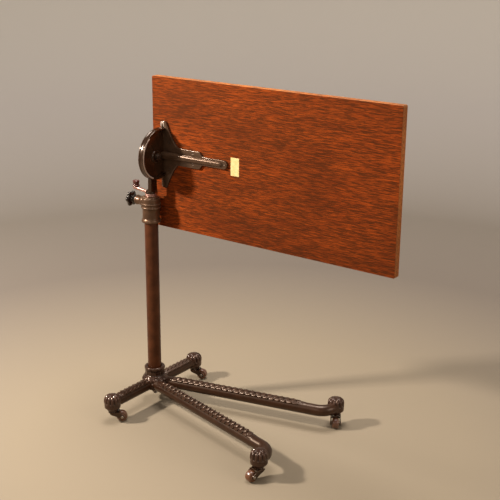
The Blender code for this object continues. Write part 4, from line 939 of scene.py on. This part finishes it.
def caster(name, x, y):
    """Fork with a round crown, a hood and two cheeks, riveted axle, and a convex turned wheel."""
    angle = math.radians(TRAIL_ANGLES[name])
    at_axle = (TRAIL, 0.0, WHEEL_R)
    top = FORK_TOP_Z
    crown = rounded(((0.0, 0.0255), (CROWN_R - 0.003, 0.0255), (CROWN_R, 0.0275), (CROWN_R, top - 0.0012),
                     (CROWN_R - 0.0012, top), (0.0042, top), (0.0042, top + 0.024), (0.0, top + 0.024)),
                    0.0008, 4)
    eye = np.radians(np.linspace(62.0, -128.0, 26))
    eye = np.stack([TRAIL + EYE_R * np.cos(eye), WHEEL_R + EYE_R * np.sin(eye)], axis=1)
    front = rounded(((0.0106, top - 0.001), (0.02, 0.0285), tuple(eye[0])), 0.005, 6)
    belly = rounded((tuple(eye[-1]), (0.008, 0.019), (-0.006, 0.024), (-0.0088, top - 0.003)), 0.006, 6)
    outline = np.concatenate([front, eye[1:], belly[1:]])
    sides = ((FORK_INNER_Y, FORK_OUTER_Y), (-FORK_OUTER_Y, -FORK_INNER_Y))
    cheeks = [plate(outline, low, high, 0.0009, "Y", 4) for low, high in sides]
    hood = block((WHEEL_R + 0.0013, WHEEL_R + 0.0027), (-FORK_OUTER_Y + 0.001, FORK_OUTER_Y - 0.001), 0.0004)
    hood = moved(swept_arc(hood, "Y", -66.0, -22.0, 24), at_axle)
    shank = ((0.0, -FORK_OUTER_Y), (AXLE_R, -FORK_OUTER_Y), (AXLE_R, FORK_OUTER_Y), (0.0, FORK_OUTER_Y))
    rivet = [turned(shank, "Y", SMALL_SIDES)]
    for side in (1, -1):
        button = ((0.0, -0.0005), (0.0042, -0.0005), (0.0042, 0.0005), (0.0026, 0.0016), (0.0, 0.0017))
        button = rounded([(radius, side * (FORK_OUTER_Y + height)) for radius, height in button], 0.0008, 4)
        rivet.append(turned(button, "Y", SMALL_SIDES))
    half = WHEEL_HALF_W
    face = [(0.0028, half), (0.0066, half), (0.0074, half - 0.001), (0.0088, half - 0.0012),
            (0.013, half - 0.0016), (WHEEL_R - 0.0007, half * 0.62)]
    other_face = [(radius, -height) for radius, height in face]
    wheel = rounded([*other_face, (WHEEL_R, 0.0), *face[::-1]], 0.0022, 5, True)
    wheel = [moved(turned(wheel, "Y", closed=True), at_axle)]
    rivet = [moved(shape, at_axle) for shape in rivet]
    for word, shapes, finish, body, part, slot in (
            ("fork_", [turned(crown), *cheeks, hood], DARK_IRON, "caster_", "caster_%s_fork", "iron"),
            ("axle_", rivet, STEEL, "caster_", "caster_%s_axle", "steel"),
            ("wheel_", wheel, WALNUT, "wheel_", "caster_%s_wheel", "wheel_wood")):
        shapes = [moved(shape, (x, y, 0.0), angle) for shape in shapes]
        piece(word + name, shapes, finish, body + name, (part % name,))


def dress_inner_nodes():
    """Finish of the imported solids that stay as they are, inside the collar, the post and the heads."""
    finishes = {"guide_bush": BRASS, "clamp_pad": BRASS, "friction_washer": FIBRE, "post_stop_ring": STEEL,
                "stem_nut": STEEL}
    finishes.update({"caster_%s_socket" % name: STEEL for name, _, _ in FEET})
    for name, finish in finishes.items():
        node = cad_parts[name]
        node.data.materials.clear()
        node.data.materials.append(finish)


# Surroundings

def floor():
    """Pale seamless bowl round the table: flat floor, quarter-circle cove and upright wall."""
    made, tree, shader = principled("Pale backdrop")
    # colour by distance from the middle: warm near the table and greyer further out, darker in a band behind
    # the table as painted shade, and paler up the wall as painted light
    distance = add(tree, "ShaderNodeVectorMath", {0: point_of(tree)}, operation="LENGTH").outputs["Value"]
    shade = ramp(tree, math_node(tree, "MULTIPLY", distance, 0.25, clamp=True),
                 ((0.15, (0.25, 0.2, 0.14)), (0.36, (0.2, 0.165, 0.135)), (0.57, (0.28, 0.24, 0.2)),
                  (0.8, (0.43, 0.39, 0.36)), (0.9, (0.52, 0.48, 0.43))))
    feed(tree, shader, {"Base Color": shade, "Roughness": 0.95, "Specular IOR Level": 0.1})
    turn = np.linspace(0.0, math.pi / 2, 40)
    reach = np.concatenate([[0.5], FLOOR_R + COVE_R * np.sin(turn), [FLOOR_R + COVE_R]])
    rise = np.concatenate([[0.0], COVE_R * (1 - np.cos(turn)), [WALL_H]])
    points, faces = turned(np.stack([reach, rise], axis=1)[::-1], sides=FINE_SIDES)
    faces.append(list(range(len(points) - FINE_SIDES, len(points))))
    mesh = surfaced("floor", points, faces, made)
    mesh.shade_smooth()
    placed("floor", mesh)


def camera():
    """Camera with the photograph's place, direction and lens."""
    sin, cos = math.sin(CAMERA_YAW), math.cos(CAMERA_YAW)
    ahead = Vector((sin * math.cos(CAMERA_PITCH), cos * math.cos(CAMERA_PITCH), -math.sin(CAMERA_PITCH)))
    level = Vector((cos, -sin, 0.0))
    above = level.cross(ahead)
    right = level * math.cos(CAMERA_ROLL) + above * math.sin(CAMERA_ROLL)
    up = above * math.cos(CAMERA_ROLL) - level * math.sin(CAMERA_ROLL)
    data = bpy.data.cameras.new("camera")
    data.lens = CAMERA_LENS
    data.sensor_width = SENSOR_W
    made = placed("camera", data)
    turn = Matrix((right, up, -ahead)).transposed().to_4x4()
    made.matrix_world = Matrix.Translation(Vector(CAMERA_PLACE) + Vector(AXIS)) @ turn
    bpy.context.scene.camera = made


def lamp(name, place, target, size, power, colour):
    """Square soft lamp that looks at a point."""
    data = bpy.data.lights.new(name, "AREA")
    data.size = size
    data.energy = power
    data.color = colour
    made = placed(name, data)
    made.location = place
    made.rotation_euler = (Vector(target) - Vector(place)).to_track_quat("-Z", "Y").to_euler()


def lights():
    """Warm key lamp at the left, weak front lamp, one at the right, a wide one above, and a pale world."""
    middle = (0.0, 0.0, 0.5)
    lamp("key", (-1.56, -1.36, 1.7), middle, 0.19, 104.0, (1.0, 0.93, 0.84))
    lamp("front", (0.4, -2.9, 1.9), middle, 0.6, 10.0, (1.0, 0.94, 0.87))
    lamp("side", (3.0, 0.1, 1.7), middle, 1.5, 29.0, (1.0, 0.94, 0.87))
    lamp("top", (-0.25, 0.35, 2.7), middle, 1.2, 72.0, (1.0, 0.96, 0.92))
    world = bpy.data.worlds.new("World")
    world.use_nodes = True
    tree = world.node_tree
    feed(tree, tree.nodes["Background"], {"Color": (1.0, 0.96, 0.9), "Strength": 0.22})
    bpy.context.scene.world = world
    bpy.context.scene.view_settings.view_transform = "Standard"


base()
column()
collar()
clamp()
lock_lever()
head_cheek()
tilt_bracket()
board()
for foot_name, foot_x, foot_y in FEET:
    caster(foot_name, foot_x, foot_y)
dress_inner_nodes()
floor()
camera()
lights()
